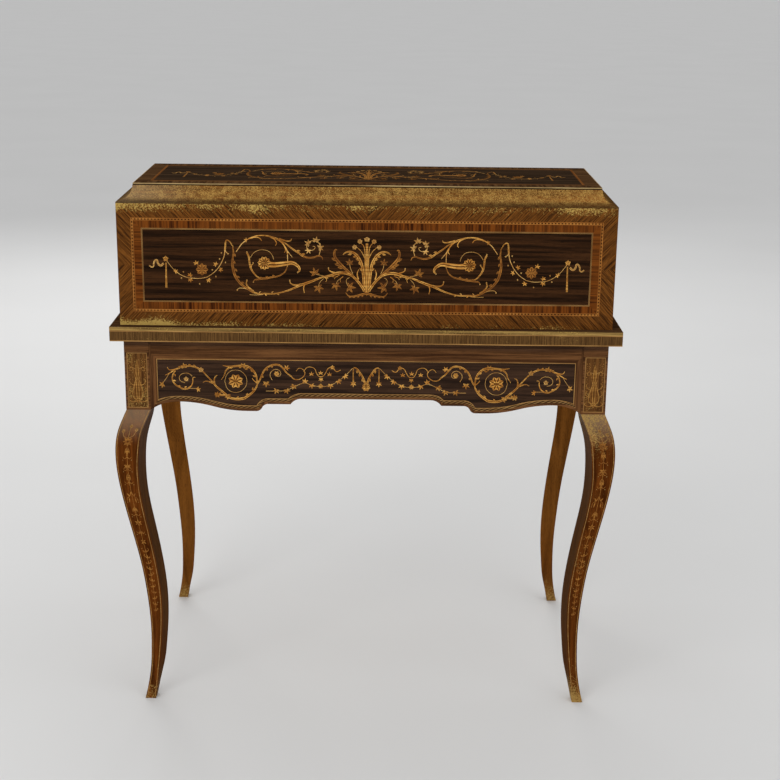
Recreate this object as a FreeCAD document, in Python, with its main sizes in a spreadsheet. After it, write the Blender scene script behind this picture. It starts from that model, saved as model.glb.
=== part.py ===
import FreeCAD, Part
import Sketcher
import math
import os
import re

# A small cylinder desk on four cabriole legs, in millimetres.
# The desk stands on the floor at Z 0. The sitter is on the -Y side, the finished back on the +Y side,
# and left and right are the sitter's own.

doc = FreeCAD.newDocument("CylinderDesk")
sheet = doc.addObject("Spreadsheet::Sheet", "Sizes")

SIZES = {
    # Writing plate: the frame of three boards that the case stands on
    "plate_width": 870,
    "plate_depth": 530,
    "plate_height": 714,
    "plate_thickness": 25,
    "plate_side_width": 60,
    "plate_rear_width": 60,
    # Legs
    "post_inset": 20,
    "post_size": 42,
    "post_height": 127,
    "knee_projection": 19,
    "ankle_recess": 24,
    "knee_width": 42,
    "ankle_width": 15.5,
    "inner_swell": 5.5,
    # Aprons
    "apron_thickness": 20,
    "apron_setback": 1.5,
    "apron_arch_rise": 15,
    "apron_lobe_drop": 1,
    "apron_step_rise": 12,
    "apron_centre_rise": 22,
    "tenon_length": 20,
    "tenon_thickness": 10,
    "tenon_shoulder": 5,
    "joint_clearance": 0.1,
    "glue_block_length": 60,
    "glue_block_size": 16,
    # Case
    "case_inset": 16,
    "case_height": 208,
    "case_board": 18,
    "case_front_inset": 31,
    "cornice_height": 27,
    "cornice_reach": 27,
    "cornice_fillet": 2,
    "top_leaf_thickness": 3.5,
    "top_leaf_overhang": 1.5,
    "dowel_radius": 4,
    "dowel_depth": 14,
    # Cylinder fall
    "pivot_rise": 16,
    "cylinder_setback": 3,
    "cylinder_thickness": 15,
    "cylinder_rail_thickness": 22,
    "cylinder_sill_gap": 1,
    "cylinder_tuck_angle": 6,
    "arm_thickness": 4,
    "arm_gap": 1.5,
    "arm_rim_width": 26,
    "arm_spoke_width": 16,
    "arm_end_angle": 88,
    "arm_hub_radius": 12,
    "pivot_radius": 4,
    "pivot_play": 0.05,
    "pivot_depth": 10,
    "pivot_flange_radius": 8,
    "pivot_flange_thickness": 2.5,
    "bush_wall": 3,
    # Writing slide
    "dust_board_thickness": 6,
    "running_clearance": 0.3,
    "slide_rear_gap": 85,
    "slide_groove_stop": 25,
    "slide_lip_depth": 18,
    "slide_tongue_length": 120,
    "slide_tongue_size": 6,
    "leather_thickness": 1.5,
    "leather_margin": 42,
    # Frieze drawer
    "front_rail_height": 18,
    "drawer_gap": 1.2,
    "drawer_front_thickness": 20,
    "drawer_side_gap": 8,
    "drawer_side_thickness": 10,
    "drawer_box_rise": 38,
    "drawer_bottom_thickness": 6,
    "drawer_bottom_rise": 5,
    "runner_thickness": 12,
    "runner_bearing": 14,
    "runner_guide_height": 20,
    # Nest of small drawers and pigeonholes
    "nest_bed_thickness": 8,
    "nest_setback": 22,
    "nest_depth": 86,
    "nest_height": 126,
    "nest_side_gap": 3,
    "nest_board": 7,
    "nest_back_thickness": 5,
    "nest_drawer_opening": 46,
    "nest_drawer_width": 210,
    "small_drawer_gap": 0.6,
    "small_drawer_front": 9,
    "small_drawer_wall": 5,
    # Brass and iron
    "rail_knob_radius": 8,
    "rail_knob_reach": 19,
    "rail_knob_spacing": 500,
    "slide_knob_radius": 5.5,
    "slide_knob_reach": 14,
    "slide_knob_spacing": 460,
    "small_knob_radius": 5,
    "small_knob_reach": 12,
    "knob_spigot_depth": 8,
    "escutcheon_radius": 9,
    "escutcheon_thickness": 1.2,
    "key_radius": 2,
    "key_slot_drop": 6,
    "lock_width": 46,
    "lock_height": 24,
    "lock_thickness": 7,
    "screw_radius": 2,
    "screw_head_radius": 4,
    "screw_head_height": 2,
    "screw_bite": 13,
    # Overrun of every cutting tool past the face it enters
    "cut_overrun": 2,
}

# Places and sizes worked out from the sheet.
WORKED_OUT = {
    "half_width": "plate_width / 2",
    "rear_edge": "(plate_depth + slide_knob_reach) / 2",
    "front_edge": "rear_edge - plate_depth",
    "mid_depth": "rear_edge - plate_depth / 2",
    "plate_under": "plate_height - plate_thickness",
    "leg_height": "plate_under - post_height",
    "well_half": "half_width - plate_side_width",
    "post_face_x": "half_width - post_inset",
    "post_inner_x": "post_face_x - post_size",
    "rear_post_face": "rear_edge - post_inset",
    "rear_post_inner": "rear_post_face - post_size",
    "front_post_face": "front_edge + post_inset",
    "front_post_inner": "front_post_face + post_size",
    "half_span_y": "(rear_post_inner - front_post_inner) / 2",
    "side_apron_face": "post_face_x - apron_setback",
    "side_apron_inner": "side_apron_face - apron_thickness",
    "block_under": "plate_under - glue_block_size",
    "rear_apron_face": "rear_post_face - apron_setback",
    "rear_apron_inner": "rear_apron_face - apron_thickness",
    "front_rail_face": "front_post_face + apron_setback",
    "front_rail_back": "front_rail_face + apron_thickness",
    "front_rail_under": "plate_under - front_rail_height",
    "case_face_x": "half_width - case_inset",
    "case_inner_x": "case_face_x - case_board",
    "case_rear": "rear_edge - case_inset",
    "case_back_inner": "case_rear - case_board",
    "case_top": "plate_height + case_height",
    "cornice_top": "case_top + cornice_height",
    "side_radius": "case_height - pivot_rise",
    "case_front": "front_edge + case_front_inset",
    "pivot_y": "case_front + side_radius",
    "pivot_z": "plate_height + pivot_rise",
    "case_top_depth": "case_rear - pivot_y",
    "core_x": "case_face_x - cornice_reach",
    "core_front": "pivot_y + cornice_reach",
    "core_rear": "case_rear - cornice_reach",
    "cylinder_radius": "side_radius - cylinder_setback",
    "cylinder_inner": "cylinder_radius - cylinder_thickness",
    "rail_inner": "cylinder_radius - cylinder_rail_thickness",
    "rail_half_height": "pivot_rise - cylinder_sill_gap",
    "shell_half": "case_inner_x - arm_gap - arm_thickness",
    "shell_middle": "cylinder_radius - cylinder_thickness / 2",
    "arm_outer_x": "shell_half + arm_thickness",
    "arm_rim_inner": "cylinder_inner - arm_rim_width",
    "arm_rim_outer": "cylinder_radius - cylinder_setback",
    "rail_face": "pivot_y - cylinder_radius",
    "rail_outer_run": "sqrt(cylinder_radius ^ 2 - rail_half_height ^ 2)",
    "rail_inner_run": "sqrt(rail_inner ^ 2 - rail_half_height ^ 2)",
    "shell_inner_run": "sqrt(cylinder_inner ^ 2 - rail_half_height ^ 2)",
    "bush_radius": "pivot_radius + pivot_play + bush_wall",
    "dust_top": "plate_under + dust_board_thickness",
    "slide_under": "dust_top + running_clearance",
    "slide_top": "plate_height - running_clearance",
    "slide_half": "well_half - running_clearance",
    "slide_rear": "rear_edge - plate_rear_width - slide_rear_gap",
    "groove_front": "front_edge + slide_groove_stop - running_clearance",
    "tongue_mid": "(slide_under + slide_top) / 2",
    "drawer_face": "front_rail_face",
    "drawer_front_back": "drawer_face + drawer_front_thickness",
    "drawer_front_half": "post_inner_x - drawer_gap",
    "drawer_top": "front_rail_under - drawer_gap",
    "drawer_lock_z": "drawer_top - lock_height / 2 - drawer_bottom_rise",
    "drawer_half": "post_inner_x - drawer_side_gap",
    "drawer_inside": "drawer_half - drawer_side_thickness",
    "drawer_foot": "leg_height + drawer_box_rise",
    "drawer_rear": "rear_apron_inner - running_clearance",
    "runner_top": "drawer_foot - running_clearance",
    "bed_top": "plate_height + nest_bed_thickness",
    "nest_front": "pivot_y + nest_setback",
    "nest_rear": "nest_front + nest_depth",
    "nest_back_inner": "nest_rear - nest_back_thickness",
    "nest_top": "bed_top + nest_height",
    "nest_half": "shell_half - nest_side_gap",
    "nest_inside": "nest_half - nest_board",
    "nest_shelf_under": "bed_top + nest_drawer_opening",
    "nest_shelf_top": "nest_shelf_under + nest_board",
    "nest_divider": "nest_inside - nest_drawer_width",
}


def expand(text):
    """Turns the plain names in an expression into references to the sheet's cells."""
    def swap(match):
        name = match.group(0)
        if name in WORKED_OUT:
            return "(" + expand(WORKED_OUT[name]) + ")"
        if name in SIZES:
            return "Sizes." + name
        return name
    return re.sub(r"[a-z][a-z_]*", swap, text)


def number(text):
    """The present value of an expression, in millimetres."""
    return float(sheet.evalExpression(expand(text)))


def bind(item, prop, text):
    item.setExpression(prop, expand(text))


for row, (alias, value) in enumerate(SIZES.items(), start=1):
    sheet.set(f"A{row}", alias)
    sheet.set(f"B{row}", str(value))
    sheet.setAlias(f"B{row}", alias)
doc.recompute()

pieces = []


def keep(item, label):
    """Names a finished piece of the desk."""
    item.Label = label
    pieces.append(item)
    return item


def place(item, x, y, z):
    for axis, text in zip("xyz", (x, y, z)):
        bind(item, f"Placement.Base.{axis}", text)


def board(x, y, z):
    """A square-edged board between two planes along each axis."""
    item = doc.addObject("Part::Box", "Board")
    for prop, (low, high) in zip(("Length", "Width", "Height"), (x, y, z)):
        bind(item, prop, f"({high}) - ({low})")
    place(item, x[0], y[0], z[0])
    return item


TURNS = {
    "x": FreeCAD.Rotation(FreeCAD.Vector(0, 1, 0), 90),
    "y": FreeCAD.Rotation(FreeCAD.Vector(1, 0, 0), -90),
    "z": FreeCAD.Rotation(),
    "-x": FreeCAD.Rotation(FreeCAD.Vector(0, 1, 0), -90),
    "-y": FreeCAD.Rotation(FreeCAD.Vector(1, 0, 0), 90),
}


def rod(start, direction, radius, length):
    """A round bar from a starting point along one axis."""
    item = doc.addObject("Part::Cylinder", "Rod")
    bind(item, "Radius", radius)
    bind(item, "Height", length)
    item.Placement = FreeCAD.Placement(FreeCAD.Vector(), TURNS[direction])
    place(item, *start)
    return item


def cone(start, direction, radius, end_radius, length):
    """A tapered round bar from a starting point along one axis."""
    item = doc.addObject("Part::Cone", "Taper")
    bind(item, "Radius1", radius)
    bind(item, "Radius2", end_radius)
    bind(item, "Height", length)
    item.Placement = FreeCAD.Placement(FreeCAD.Vector(), TURNS[direction])
    place(item, *start)
    return item


def ball(centre, radius):
    item = doc.addObject("Part::Sphere", "Ball")
    bind(item, "Radius", radius)
    place(item, *centre)
    return item


def fuse(*shapes):
    item = doc.addObject("Part::MultiFuse", "Joined")
    item.Shapes = list(shapes)
    return item


def group(*shapes):
    """Separate solids that share one name."""
    item = doc.addObject("Part::Compound", "Set")
    item.Links = list(shapes)
    return item


def common(first, second):
    item = doc.addObject("Part::MultiCommon", "Shared")
    item.Shapes = [first, second]
    return item


def cut(base, *tools):
    item = doc.addObject("Part::Cut", "Cut")
    item.Base = base
    item.Tool = tools[0] if len(tools) == 1 else fuse(*tools)
    return item


def arc_between(start, end, radius, side):
    """The short arc between two points, its centre to the left (1) or the right (-1) of the way."""
    middle = (start + end) * 0.5
    chord = end - start
    left = FreeCAD.Vector(-chord.y, chord.x, 0).normalize()
    rise = math.sqrt(max(radius ** 2 - (chord.Length / 2) ** 2, 0))
    centre = middle + left * (side * rise)
    ends = (start, end) if side > 0 else (end, start)
    turn = [math.atan2(point.y - centre.y, point.x - centre.x) for point in ends]
    return Part.ArcOfCircle(Part.Circle(centre, FreeCAD.Vector(0, 0, 1), radius), *turn)


def draw(sketch, corners):
    """Draws a closed outline and ties every corner to the sheet.

    A corner is (across, up) or (across, up, radius, side), where the last two bend the edge that leaves it.
    """
    points = [FreeCAD.Vector(number(c[0]), number(c[1]), 0) for c in corners]
    edges = []
    for index, corner in enumerate(corners):
        start = points[index]
        end = points[(index + 1) % len(points)]
        if len(corner) == 2:
            edges.append((sketch.addGeometry(Part.LineSegment(start, end)), 1, 2))
            continue
        radius, side = corner[2:]
        geometry = sketch.addGeometry(arc_between(start, end, number(radius), side))
        edges.append((geometry, 1, 2) if side > 0 else (geometry, 2, 1))
    for index, (geometry, first, last) in enumerate(edges):
        following, entry, _ = edges[(index + 1) % len(edges)]
        sketch.addConstraint(Sketcher.Constraint("Coincident", geometry, last, following, entry))
    for corner, point, (geometry, first, _) in zip(corners, points, edges):
        tie(sketch, "DistanceX", geometry, first, point.x, corner[0], -2)
        tie(sketch, "DistanceY", geometry, first, point.y, corner[1], -1)
        if len(corner) > 2:
            bend = sketch.addConstraint(Sketcher.Constraint("Radius", geometry, number(corner[2])))
            bind(sketch, f"Constraints[{bend}]", corner[2])


def tie(sketch, kind, geometry, end, value, text, axis):
    """Holds one coordinate of a corner: on the axis where it is zero, at a bound distance elsewhere."""
    if value == 0:
        sketch.addConstraint(Sketcher.Constraint("PointOnObject", geometry, end, axis))
        return
    distance = sketch.addConstraint(Sketcher.Constraint(kind, -1, 1, geometry, end, value))
    bind(sketch, f"Constraints[{distance}]", text)


def profile(plane, start, thickness, corners):
    """A body padded from an outline: XZ outlines pad towards -Y, YZ outlines towards +X."""
    body = doc.addObject("PartDesign::Body", "Body")
    sketch = body.newObject("Sketcher::SketchObject", "Outline")
    origin = next(f for f in body.Origin.OriginFeatures if f.Role == plane)
    sketch.AttachmentSupport = [(origin, "")]
    sketch.MapMode = "FlatFace"
    bind(sketch, "AttachmentOffset.Base.z", f"-({start})" if plane == "XZ_Plane" else start)
    draw(sketch, corners)
    pad = body.newObject("PartDesign::Pad", "Pad")
    pad.Profile = sketch
    bind(pad, "Length", thickness)
    return body


# Legs. Each is sawn from one square post with the same curve on two neighbouring sides, so it swings
# out along the diagonal. The inner faces lean, so that the inner corner is fuller than the outer one.
# Rows: share of the leg's height, share of the swing from ankle to knee, share of the width between
# ankle and knee, and share of the inner corner's swell.
CABRIOLE_SHARES = (
    (0.0, 0.30, 0.14, 0.1),
    (0.05, 0.155, 0.055, 0.4),
    (0.10, 0.06, 0.01, 0.8),
    (0.17, 0.005, 0.07, 0.95),
    (0.25, -0.005, 0.185, 1.0),
    (0.36, 0.08, 0.355, 1.0),
    (0.46, 0.225, 0.42, 1.0),
    (0.60, 0.54, 0.53, 1.0),
    (0.73, 0.84, 0.66, 1.0),
    (0.83, 0.99, 0.86, 1.0),
    (0.885, 0.995, 0.97, 0.95),
    (0.94, 0.88, 1.0, 1.1),
    (0.975, 0.70, 1.0, 0.75),
    (1.0, 0.56, 1.0, 0.0),
)


def straight_lines(*points):
    return [Part.makeLine(start, end) for start, end in zip(points, points[1:])]


def sawn_outline(to_point, behind):
    """A leg's side view, cabriole below and square post above, so far behind the knee's outermost plane.

    It runs on below the sole, for the waste that is sawn off level.
    """
    height = number("leg_height")
    swing = number("knee_projection + ankle_recess")
    ankle = number("ankle_recess")
    narrow = number("ankle_width")
    spread = number("knee_width - ankle_width")
    swell = number("inner_swell")
    reach = number("knee_projection + cut_overrun")
    top = number("plate_under")
    post = number("post_size")
    waste = FreeCAD.Vector(0, 0, number("cut_overrun"))
    outer = []
    inner = []
    for height_share, swing_share, width_share, swell_share in CABRIOLE_SHARES[:-1]:
        out = swing_share * swing - ankle
        width = narrow + width_share * spread
        lean = swell_share * swell / width
        outer.append(to_point(out, height * height_share, behind))
        inner.append(to_point(out - width - lean * (behind - reach + out), height * height_share, behind))
    outer.append(to_point(0, height, behind))
    inner.append(to_point(-post, height, behind))
    inner.reverse()
    curves = []
    for points in (outer, inner):
        curve = Part.BSplineCurve()
        curve.interpolate(points)
        curves.append(curve.toShape())
    post_lines = straight_lines(outer[-1], to_point(0, top, behind), to_point(-post, top, behind), inner[0])
    foot_lines = straight_lines(inner[-1], inner[-1] - waste, outer[0] - waste, outer[0])
    return Part.Wire([curves[0], *post_lines, curves[1], *foot_lines])


def across(sign, low, high):
    """The same stretch on the right (1) or the left (-1) side of the desk."""
    return (low, high) if sign > 0 else (f"-({high})", f"-({low})")


def leg_blank(x_sign, y_sign):
    x_face = number("post_face_x")
    y_face = number("rear_post_face" if y_sign > 0 else "front_post_face")
    reach = number("knee_projection + cut_overrun")
    depth = number("post_size + ankle_recess + cut_overrun") + reach

    def seen_from_front(out, up, behind):
        return FreeCAD.Vector(x_sign * (x_face + out), y_face + y_sign * (reach - behind), up)

    def seen_from_side(out, up, behind):
        return FreeCAD.Vector(x_sign * (x_face + reach - behind), y_face + y_sign * out, up)

    sawn = []
    for view in (seen_from_front, seen_from_side):
        sawn.append(Part.makeLoft([sawn_outline(view, 0), sawn_outline(view, depth)], True, True))
    blank = doc.addObject("Part::Feature", "Blank")
    blank.Shape = sawn[0].common(sawn[1]).Solids[0]
    x = across(x_sign, "post_inner_x - knee_projection", "post_face_x + knee_projection")
    if y_sign > 0:
        y = ("rear_post_inner - knee_projection", "rear_post_face + knee_projection")
    else:
        y = ("front_post_face - knee_projection", "front_post_inner + knee_projection")
    return cut(blank, board(x, y, ("-cut_overrun * 2", "0")))


def side_tenon(x_sign, y_sign, slack):
    """A side apron's tenon, or with slack the mortise that takes it."""
    mid = "(side_apron_face + side_apron_inner) / 2"
    x = (f"{mid} - tenon_thickness / 2 - {slack}", f"{mid} + tenon_thickness / 2 + {slack}")
    if y_sign > 0:
        y = ("rear_post_inner", f"rear_post_inner + tenon_length + {slack}")
    else:
        y = (f"front_post_inner - tenon_length - {slack}", "front_post_inner")
    z = (f"leg_height + tenon_shoulder - {slack}", f"plate_under - tenon_shoulder + {slack}")
    return board(across(x_sign, *x), y, z)


def rear_tenon(x_sign, slack):
    """The rear apron's tenon, or with slack the mortise that takes it."""
    mid = "(rear_apron_face + rear_apron_inner) / 2"
    x = across(x_sign, "post_inner_x", f"post_inner_x + tenon_length + {slack}")
    y = (f"{mid} - tenon_thickness / 2 - {slack}", f"{mid} + tenon_thickness / 2 + {slack}")
    z = (f"leg_height + tenon_shoulder - {slack}", f"plate_under - tenon_shoulder + {slack}")
    return board(x, y, z)


def rail_tenon(x_sign, slack):
    """The front rail's tenon, or with slack the mortise that takes it."""
    mid = "(front_rail_face + front_rail_back) / 2"
    x = across(x_sign, "post_inner_x", f"post_inner_x + tenon_length + {slack}")
    y = (f"{mid} - tenon_thickness / 2 - {slack}", f"{mid} + tenon_thickness / 2 + {slack}")
    shoulder = "front_rail_height / 4"
    z = (f"front_rail_under + {shoulder} - {slack}", f"plate_under - {shoulder} + {slack}")
    return board(x, y, z)


SIDES = (("left", -1), ("right", 1))

for side, sign in SIDES:
    rear_mortises = (rear_tenon(sign, "joint_clearance"), side_tenon(sign, 1, "joint_clearance"))
    rear = cut(leg_blank(sign, 1), *rear_mortises)
    keep(rear, f"leg_rear_{side}")
    front_mortises = (rail_tenon(sign, "joint_clearance"), side_tenon(sign, -1, "joint_clearance"))
    front = cut(leg_blank(sign, -1), *front_mortises)
    keep(front, f"leg_front_{side}")

# Aprons. The lower edge is an arch beside each leg, a hanging lobe, a flat step and a raised middle.
# Shares of the half span, measured from the leg towards the middle.
LONG_EDGE_SHARES = {
    "arch": 0.13,
    "lobe": 0.45,
    "lobe_end": 0.49,
    "step": 0.545,
    "step_end": 0.65,
    "raise": 0.70,
}
SHORT_EDGE_SHARES = {
    "arch": 0.16,
    "lobe": 0.44,
    "lobe_end": 0.48,
    "step": 0.60,
    "step_end": 0.70,
    "raise": 0.80,
}


def tangent_radius(run, rise):
    """The radius of an arc that starts level and climbs the given rise over the given run."""
    return f"(({run}) ^ 2 + ({rise}) ^ 2) / (2 * ({rise}))"


def serpentine(middle, half, top, shares):
    """The closed outline of an apron or drawer front with the shaped lower edge."""
    at = {name: f"({half}) * {1 - share}" for name, share in shares.items()}
    swoop_mid = f"({at['arch']} + {at['lobe']}) / 2"
    ogee_mid = f"({at['lobe_end']} + {at['step']}) / 2"
    arch = f"({half}) * {shares['arch']}"
    swoop = f"({half}) * {(shares['lobe'] - shares['arch']) / 2}"
    ogee = f"({half}) * {(shares['step'] - shares['lobe_end']) / 2}"
    lift = f"({half}) * {shares['raise'] - shares['step_end']}"
    arch_bend = tangent_radius(arch, "apron_arch_rise")
    swoop_bend = tangent_radius(swoop, "(apron_arch_rise + apron_lobe_drop) / 2")
    ogee_bend = tangent_radius(ogee, "(apron_step_rise + apron_lobe_drop) / 2")
    lift_bend = tangent_radius(lift, "apron_centre_rise - apron_step_rise")
    # From the leg to the middle: distance from the middle, height, and the bend towards the middle.
    stations = [
        (half, "leg_height", arch_bend, -1),
        (at["arch"], "leg_height + apron_arch_rise", swoop_bend, -1),
        (swoop_mid, "leg_height + (apron_arch_rise - apron_lobe_drop) / 2", swoop_bend, 1),
        (at["lobe"], "leg_height - apron_lobe_drop", None, 0),
        (at["lobe_end"], "leg_height - apron_lobe_drop", ogee_bend, 1),
        (ogee_mid, "leg_height + (apron_step_rise - apron_lobe_drop) / 2", ogee_bend, -1),
        (at["step"], "leg_height + apron_step_rise", None, 0),
        (at["step_end"], "leg_height + apron_step_rise", lift_bend, -1),
        (at["raise"], "leg_height + apron_centre_rise", None, 0),
    ]
    corners = []
    for away, up, radius, turn in stations:
        spot = (f"{middle} - ({away})", up)
        corners.append(spot + (radius, turn) if radius else spot)
    bends = [None] + [(radius, turn) for _, _, radius, turn in stations[:-1]]
    for (away, up, _, _), bend in zip(reversed(stations), reversed(bends)):
        spot = (f"{middle} + ({away})", up)
        corners.append(spot + bend if bend and bend[0] else spot)
    corners.append((f"{middle} + ({half})", top))
    corners.append((f"{middle} - ({half})", top))
    return corners


rear_board = profile("XZ_Plane", "rear_apron_face", "apron_thickness",
                     serpentine("0", "post_inner_x", "plate_under", LONG_EDGE_SHARES))
keep(fuse(rear_board, rear_tenon(-1, "0"), rear_tenon(1, "0")), "apron_rear")

for side, sign in SIDES:
    start = "side_apron_inner" if sign > 0 else "-(side_apron_face)"
    side_board = profile("YZ_Plane", start, "apron_thickness",
                         serpentine("mid_depth", "half_span_y", "plate_under", SHORT_EDGE_SHARES))
    keep(fuse(side_board, side_tenon(sign, -1, "0"), side_tenon(sign, 1, "0")), f"apron_{side}")

rail_board = board(("-(post_inner_x)", "post_inner_x"), ("front_rail_face", "front_rail_back"),
                   ("front_rail_under", "plate_under"))
keep(fuse(rail_board, rail_tenon(-1, "0"), rail_tenon(1, "0")), "front_rail")

# Runners, which carry the frieze drawer and guide it sideways.
for side, sign in SIDES:
    span = ("front_post_inner", "rear_post_inner")
    bearing = board(across(sign, "drawer_half - runner_bearing", "side_apron_inner"), span,
                    ("runner_top - runner_thickness", "runner_top"))
    guide = board(across(sign, "drawer_half + running_clearance", "side_apron_inner"), span,
                  ("runner_top", "runner_top + runner_guide_height"))
    keep(fuse(bearing, guide), f"drawer_runner_{side}")


# Glue blocks in the corner of apron and plate, each with a screw up into the plate.
def screw(start, direction, length, slack):
    """A round-headed wood screw lying along one axis, or with slack the hole that takes it."""
    shank = rod(start, direction, f"screw_radius + {slack}", length)
    head = rod(start, direction, f"screw_head_radius + {slack}", f"screw_head_height + {slack}")
    return fuse(shank, head)


BLOCK_DEPTH_SHARES = (-0.5, 0.5)
BLOCK_WIDTH_SHARES = (-0.6, 0.0, 0.6)
screw_length = "glue_block_size + screw_bite"
block_places = []
for share in BLOCK_DEPTH_SHARES:
    for sign in (-1, 1):
        x = across(sign, "side_apron_inner - glue_block_size", "side_apron_inner")
        along = f"mid_depth + {share} * half_span_y"
        y = (f"{along} - glue_block_length / 2", f"{along} + glue_block_length / 2")
        centre = (f"{sign} * (side_apron_inner - glue_block_size / 2)", along, "block_under")
        block_places.append(("left" if sign < 0 else "right", x, y, centre))
for share in BLOCK_WIDTH_SHARES:
    along = f"{share} * post_inner_x"
    x = (f"{along} - glue_block_length / 2", f"{along} + glue_block_length / 2")
    y = ("rear_apron_inner - glue_block_size", "rear_apron_inner")
    centre = (along, "rear_apron_inner - glue_block_size / 2", "block_under")
    block_places.append(("rear", x, y, centre))

blocks = []
screws = []
plate_holes = {"left": [], "right": [], "rear": []}
for edge, x, y, centre in block_places:
    block = board(x, y, ("block_under", "plate_under"))
    blocks.append(cut(block, screw(centre, "z", screw_length, "joint_clearance")))
    screws.append(screw(centre, "z", screw_length, "0"))
    plate_holes[edge].append(screw(centre, "z", f"{screw_length} + joint_clearance", "joint_clearance"))
keep(group(*blocks), "glue_blocks")
keep(group(*screws), "plate_screws")

# Plate: two side boards the full depth and a rear board between them, open to the front for the slide.
DOWEL_FRONT_SHARE = 0.71
DOWEL_BACK_SHARES = (0.15, 0.8)
DOWEL_REAR_SHARES = (-0.7, 0.0, 0.7)
dowel_middle = "case_face_x - case_board / 2"
dowel_places = {"left": [], "right": [], "rear": []}
for side, sign in SIDES:
    places = [f"pivot_y - {DOWEL_FRONT_SHARE} * side_radius"]
    places += [f"pivot_y + {share} * (case_back_inner - pivot_y)" for share in DOWEL_BACK_SHARES]
    for along in places:
        dowel_places[side].append((f"{sign} * ({dowel_middle})", along))
for share in DOWEL_REAR_SHARES:
    dowel_places["rear"].append((f"{share} * well_half", "case_rear - case_board / 2"))


def dowel(spot, slack):
    """A dowel half in the plate and half in the case, or with slack its hole."""
    start = (*spot, f"plate_height - dowel_depth - {slack}")
    return rod(start, "z", f"dowel_radius + {slack}", f"2 * (dowel_depth + {slack})")


def dowel_holes(edge):
    return [dowel(spot, "joint_clearance") for spot in dowel_places[edge]]


for side, sign in SIDES:
    x = across(sign, "well_half", "half_width")
    side_plate = board(x, ("front_edge", "rear_edge"), ("plate_under", "plate_height"))
    groove_x = across(sign, "well_half - cut_overrun", "well_half + slide_tongue_size + running_clearance")
    groove = board(groove_x, ("groove_front", "slide_rear + running_clearance"),
                   ("tongue_mid - slide_tongue_size / 2 - running_clearance",
                    "tongue_mid + slide_tongue_size / 2 + running_clearance"))
    keep(cut(side_plate, groove, *dowel_holes(side), *plate_holes[side]), f"plate_{side}")

rear_plate = board(("-(well_half)", "well_half"), ("rear_edge - plate_rear_width", "rear_edge"),
                   ("plate_under", "plate_height"))
keep(cut(rear_plate, *dowel_holes("rear"), *plate_holes["rear"]), "plate_rear")

# Dust board under the slide, let in between the plate's boards.
keep(board(("-(well_half)", "well_half"),
           ("front_edge + slide_lip_depth + running_clearance", "rear_edge - plate_rear_width"),
           ("plate_under", "dust_top")), "dust_board")

keep(group(*[dowel(spot, "0") for spots in dowel_places.values() for spot in spots]), "case_dowels")

# Case: a full-width back, and two sides whose front edge follows the cylinder.
back_board = board(("-(case_face_x)", "case_face_x"), ("case_back_inner", "case_rear"),
                   ("plate_height", "case_top"))
keep(cut(back_board, *dowel_holes("rear")), "case_back")

side_corners = [
    ("case_front", "plate_height"),
    ("case_back_inner", "plate_height"),
    ("case_back_inner", "case_top"),
    ("pivot_y", "case_top", "side_radius", 1),
    ("case_front", "pivot_z"),
]
for side, sign in SIDES:
    start = "case_inner_x" if sign > 0 else "-(case_face_x)"
    side_panel = profile("YZ_Plane", start, "case_board", side_corners)
    hole = rod((f"{sign} * (case_inner_x - cut_overrun)", "pivot_y", "pivot_z"), "x" if sign > 0 else "-x",
               "bush_radius + joint_clearance / 2", "pivot_depth + cut_overrun")
    keep(cut(side_panel, hole, *dowel_holes(side)), f"case_side_{side}")

bushes = []
for side, sign in SIDES:
    start = (f"{sign} * case_inner_x", "pivot_y", "pivot_z")
    direction = "x" if sign > 0 else "-x"
    bore_start = (f"{sign} * (case_inner_x - cut_overrun)", "pivot_y", "pivot_z")
    bore = rod(bore_start, direction, "pivot_radius + pivot_play", "pivot_depth + 2 * cut_overrun")
    bushes.append(cut(rod(start, direction, "bush_radius", "pivot_depth"), bore))
keep(group(*bushes), "pivot_bushes")

# Top: a core board, four mitred cavetto mouldings round it, and a thin leaf that laps over them.
keep(board(("-(core_x)", "core_x"), ("core_front", "core_rear"), ("case_top", "cornice_top")), "top_core")
keep(board(("-(core_x) - top_leaf_overhang", "core_x + top_leaf_overhang"),
           ("core_front - top_leaf_overhang", "core_rear + top_leaf_overhang"),
           ("cornice_top", "cornice_top + top_leaf_thickness")), "top_leaf")


def cavetto(edge, inner, way):
    """The section of the hollow moulding, from the core's edge out to the case's face."""
    hollow = tangent_radius("cornice_height - cornice_fillet", "cornice_reach - cornice_fillet")
    shoulder = (f"{inner} + {way} * cornice_fillet", "cornice_top")
    toe = (edge, "case_top + cornice_fillet")
    foot = [(inner, "case_top"), (edge, "case_top")]
    if way > 0:
        return foot + [toe + (hollow, -1), shoulder, (inner, "cornice_top")]
    return foot[::-1] + [(inner, "cornice_top"), shoulder + (hollow, -1), toe]


def mitre(outer_ends, inner_ends, turned):
    """A wedge that is long at the outer edge and short at the inner edge, for mitred ends."""
    item = doc.addObject("Part::Wedge", "Mitre")
    limits = {
        "Xmin": outer_ends[0],
        "Xmax": outer_ends[1],
        "X2min": inner_ends[0],
        "X2max": inner_ends[1],
        "Ymax": "cornice_reach",
        "Zmax": "cornice_height",
        "Z2max": "cornice_height",
    }
    for prop in ("Ymin", "Zmin", "Z2min"):
        setattr(item, prop, 0)
    for prop, text in limits.items():
        bind(item, prop, text)
    item.Placement = FreeCAD.Placement(FreeCAD.Vector(), FreeCAD.Rotation(FreeCAD.Vector(0, 0, 1), turned))
    return item


LONG_CORNICES = (("rear", "case_rear", "core_rear", 1), ("front", "pivot_y", "core_front", -1))
for name, edge, inner, way in LONG_CORNICES:
    stick = profile("YZ_Plane", "-(case_face_x)", "2 * case_face_x", cavetto(edge, inner, way))
    ends = mitre(("-(case_face_x)", "case_face_x"), ("-(core_x)", "core_x"), 180 if way > 0 else 0)
    place(ends, "0", edge, "case_top")
    keep(common(stick, ends), f"cornice_{name}")

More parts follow.
